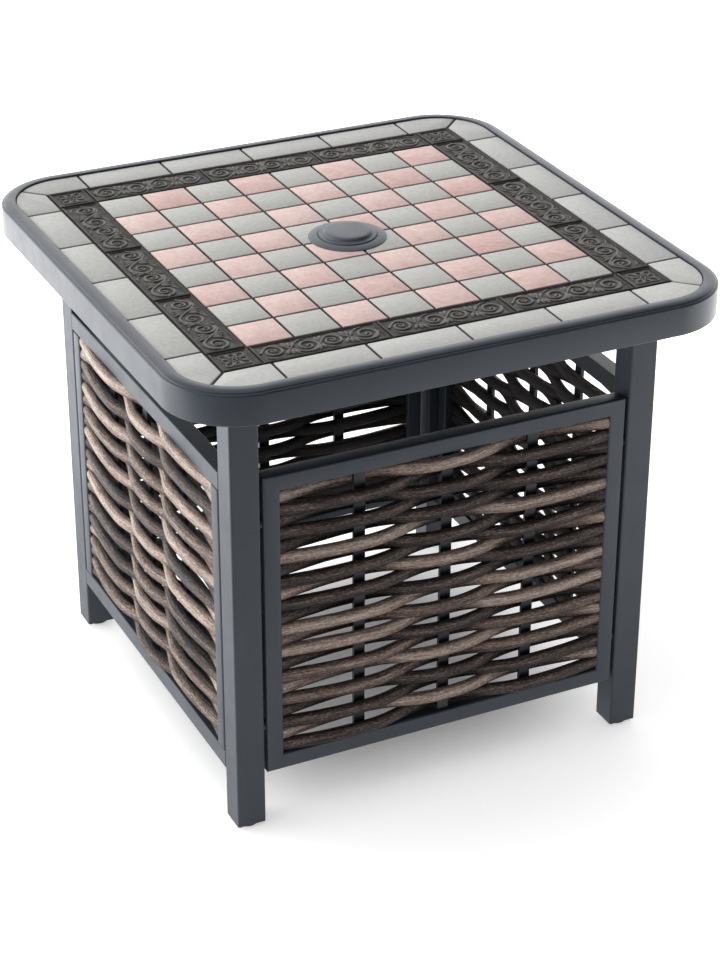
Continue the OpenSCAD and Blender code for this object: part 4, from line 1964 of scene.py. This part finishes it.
@dataclass
class Studio:
    """A pale floor, soft light and a camera where the photographer stood."""

    floor_half: float = 20.0
    # The floor's glow, light painted into the floor: dim under the table as a painted shadow,
    # brighter outside it, and brighter still far away
    dim_m: float = 0.1
    lit_m: float = 0.27
    dim_glow: float = 0.07
    glow: float = 0.55
    far_m: tuple[float, float] = (0.4, 1.4)
    far_glow: float = 2.0
    # Towards the camera the glow fades, so that the front of the table gets less light
    near_way: tuple[float, float] = (0.42, 0.91)
    near_m: tuple[float, float] = (-1.2, -0.5)
    near_share: float = 0.2
    near_power: float = 3.5
    # The world's light: a soft sky from one way and a low wall of light from another
    sky_way: tuple[float, float, float] = (-0.62, 0.55, 0.56)
    sky_reach: tuple[float, float] = (-0.3, 0.9)
    sky: tuple[float, float] = (0.03, 0.75)
    wall_way: tuple[float, float, float] = (-0.15, 0.99, 0.0)
    wall_reach: tuple[float, float] = (-0.3, 0.3)
    wall_top: tuple[float, float] = (0.45, 0.72)
    wall: float = 1.9
    lamps: tuple[Softbox, ...] = (
        Softbox("key", (-2.5, 1.15, 0.95), (0.0, 0.0, 0.35), 2.0, 1.7, 32.0),
        Softbox("top", (-0.2, 0.1, 3.2), (0.0, 0.0, 0.35), 3.0, 3.0, 17.0))
    # The camera that was fitted to the photograph
    focal_px: float = 2495.192
    frame_px: tuple[int, int] = (720, 960)
    turn: tuple[float, float, float] = (2.023825619, -0.460217106, 0.277925406)
    eye: tuple[float, float, float] = (-0.967302, -2.034585, 1.436231)
    sensor_mm: float = 36.0

    def camera(self) -> None:
        """Sets the camera from its measured turn and place."""
        data = bpy.data.cameras.new("camera")
        data.sensor_fit = "HORIZONTAL"
        data.sensor_width = self.sensor_mm
        data.lens = self.sensor_mm * self.focal_px / self.frame_px[0]
        view = Vector(self.turn)
        rows = Matrix.Rotation(view.length, 3, view.normalized())
        axes = Matrix((rows[0], -rows[1], -rows[2])).transposed()
        camera = bpy.data.objects.new("camera", data)
        camera.matrix_world = Matrix.Translation(self.eye) @ axes.to_4x4()
        bpy.context.scene.collection.objects.link(camera)
        bpy.context.scene.camera = camera

    def floor(self) -> None:
        """Lays the floor, which glows as a light, with a painted shadow under the table."""
        form = bmesh.new()
        bmesh.ops.create_grid(form, x_segments=2, y_segments=2, size=self.floor_half)
        mat = Shader("studio_floor")
        here = mat.place()
        x, y, _ = mat.split(here)
        powers = [mat.math("POWER", mat.math("ABSOLUTE", part), 4.0) for part in (x, y)]
        reach = mat.math("POWER", mat.math("ADD", *powers), 0.25)
        # Painted shadow: the glow is dim under the table and grows outwards
        glow = mat.add("ShaderNodeMapRange", {
            "Value": reach, "From Min": self.dim_m, "From Max": self.lit_m,
            "To Min": self.dim_glow, "To Max": self.glow},
            interpolation_type="SMOOTHSTEP").outputs[0]
        glow = mat.math("ADD", glow, mat.spread(reach, *self.far_m, 0.0, self.far_glow))
        parts = [mat.math("MULTIPLY", part, way) for part, way in zip((x, y), self.near_way)]
        share = mat.spread(mat.math("ADD", *parts), *self.near_m, self.near_share, 1.0)
        glow = mat.math("MULTIPLY", glow, mat.math("POWER", share, self.near_power))
        cloud = mat.noise(here, scale=3.0, detail=3.0)
        tone = mat.mix(cloud, (0.86, 0.86, 0.86, 1.0), (0.88, 0.88, 0.88, 1.0))
        finish = mat.dress(Base_Color=tone, Roughness=0.9, Emission_Color=(1, 1, 1, 1),
                           Emission_Strength=glow)
        piece_of("floor", mesh_of("floor", form), finish)

    def world(self) -> None:
        """Soft light from all round, strongest from behind the table's left."""
        world = bpy.data.worlds.new("studio")
        bpy.context.scene.world = world
        world.use_nodes = True
        graph = Graph(world.node_tree)
        back = world.node_tree.nodes["Background"]
        way = graph.add("ShaderNodeTexCoord").outputs["Generated"]
        sky = graph.along(way, Vector(self.sky_way).normalized())
        level = graph.spread(sky, *self.sky_reach, *self.sky)
        wall = graph.spread(graph.along(way, self.wall_way), *self.wall_reach, 0.0, self.wall)
        low = graph.spread(graph.split(way)[2], *self.wall_top, 1.0, 0.0)
        level = graph.math("ADD", level, graph.math("MULTIPLY", wall, low))
        world.node_tree.links.new(level, back.inputs["Strength"])
        back.inputs["Color"].default_value = (1.0, 1.0, 1.0, 1.0)

    def light(self) -> None:
        """Hangs the softboxes."""
        for lamp in self.lamps:
            lamp.hang()

    def build(self) -> None:
        """Sets the whole studio."""
        self.camera()
        self.floor()
        self.world()
        self.light()
        bpy.context.scene.view_settings.view_transform = "Standard"


def main() -> None:
    """Builds the table's pieces over the frame, then the studio."""
    logging.basicConfig(level=logging.INFO, format="%(name)s: %(message)s")
    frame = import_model()
    finishes = Finishes()
    Rim().build(finishes)
    TiledTop().build(finishes)
    UmbrellaHole().build(finishes)
    Base(frame).build(finishes)
    Studio().build()


if __name__ == "__main__":
    main()
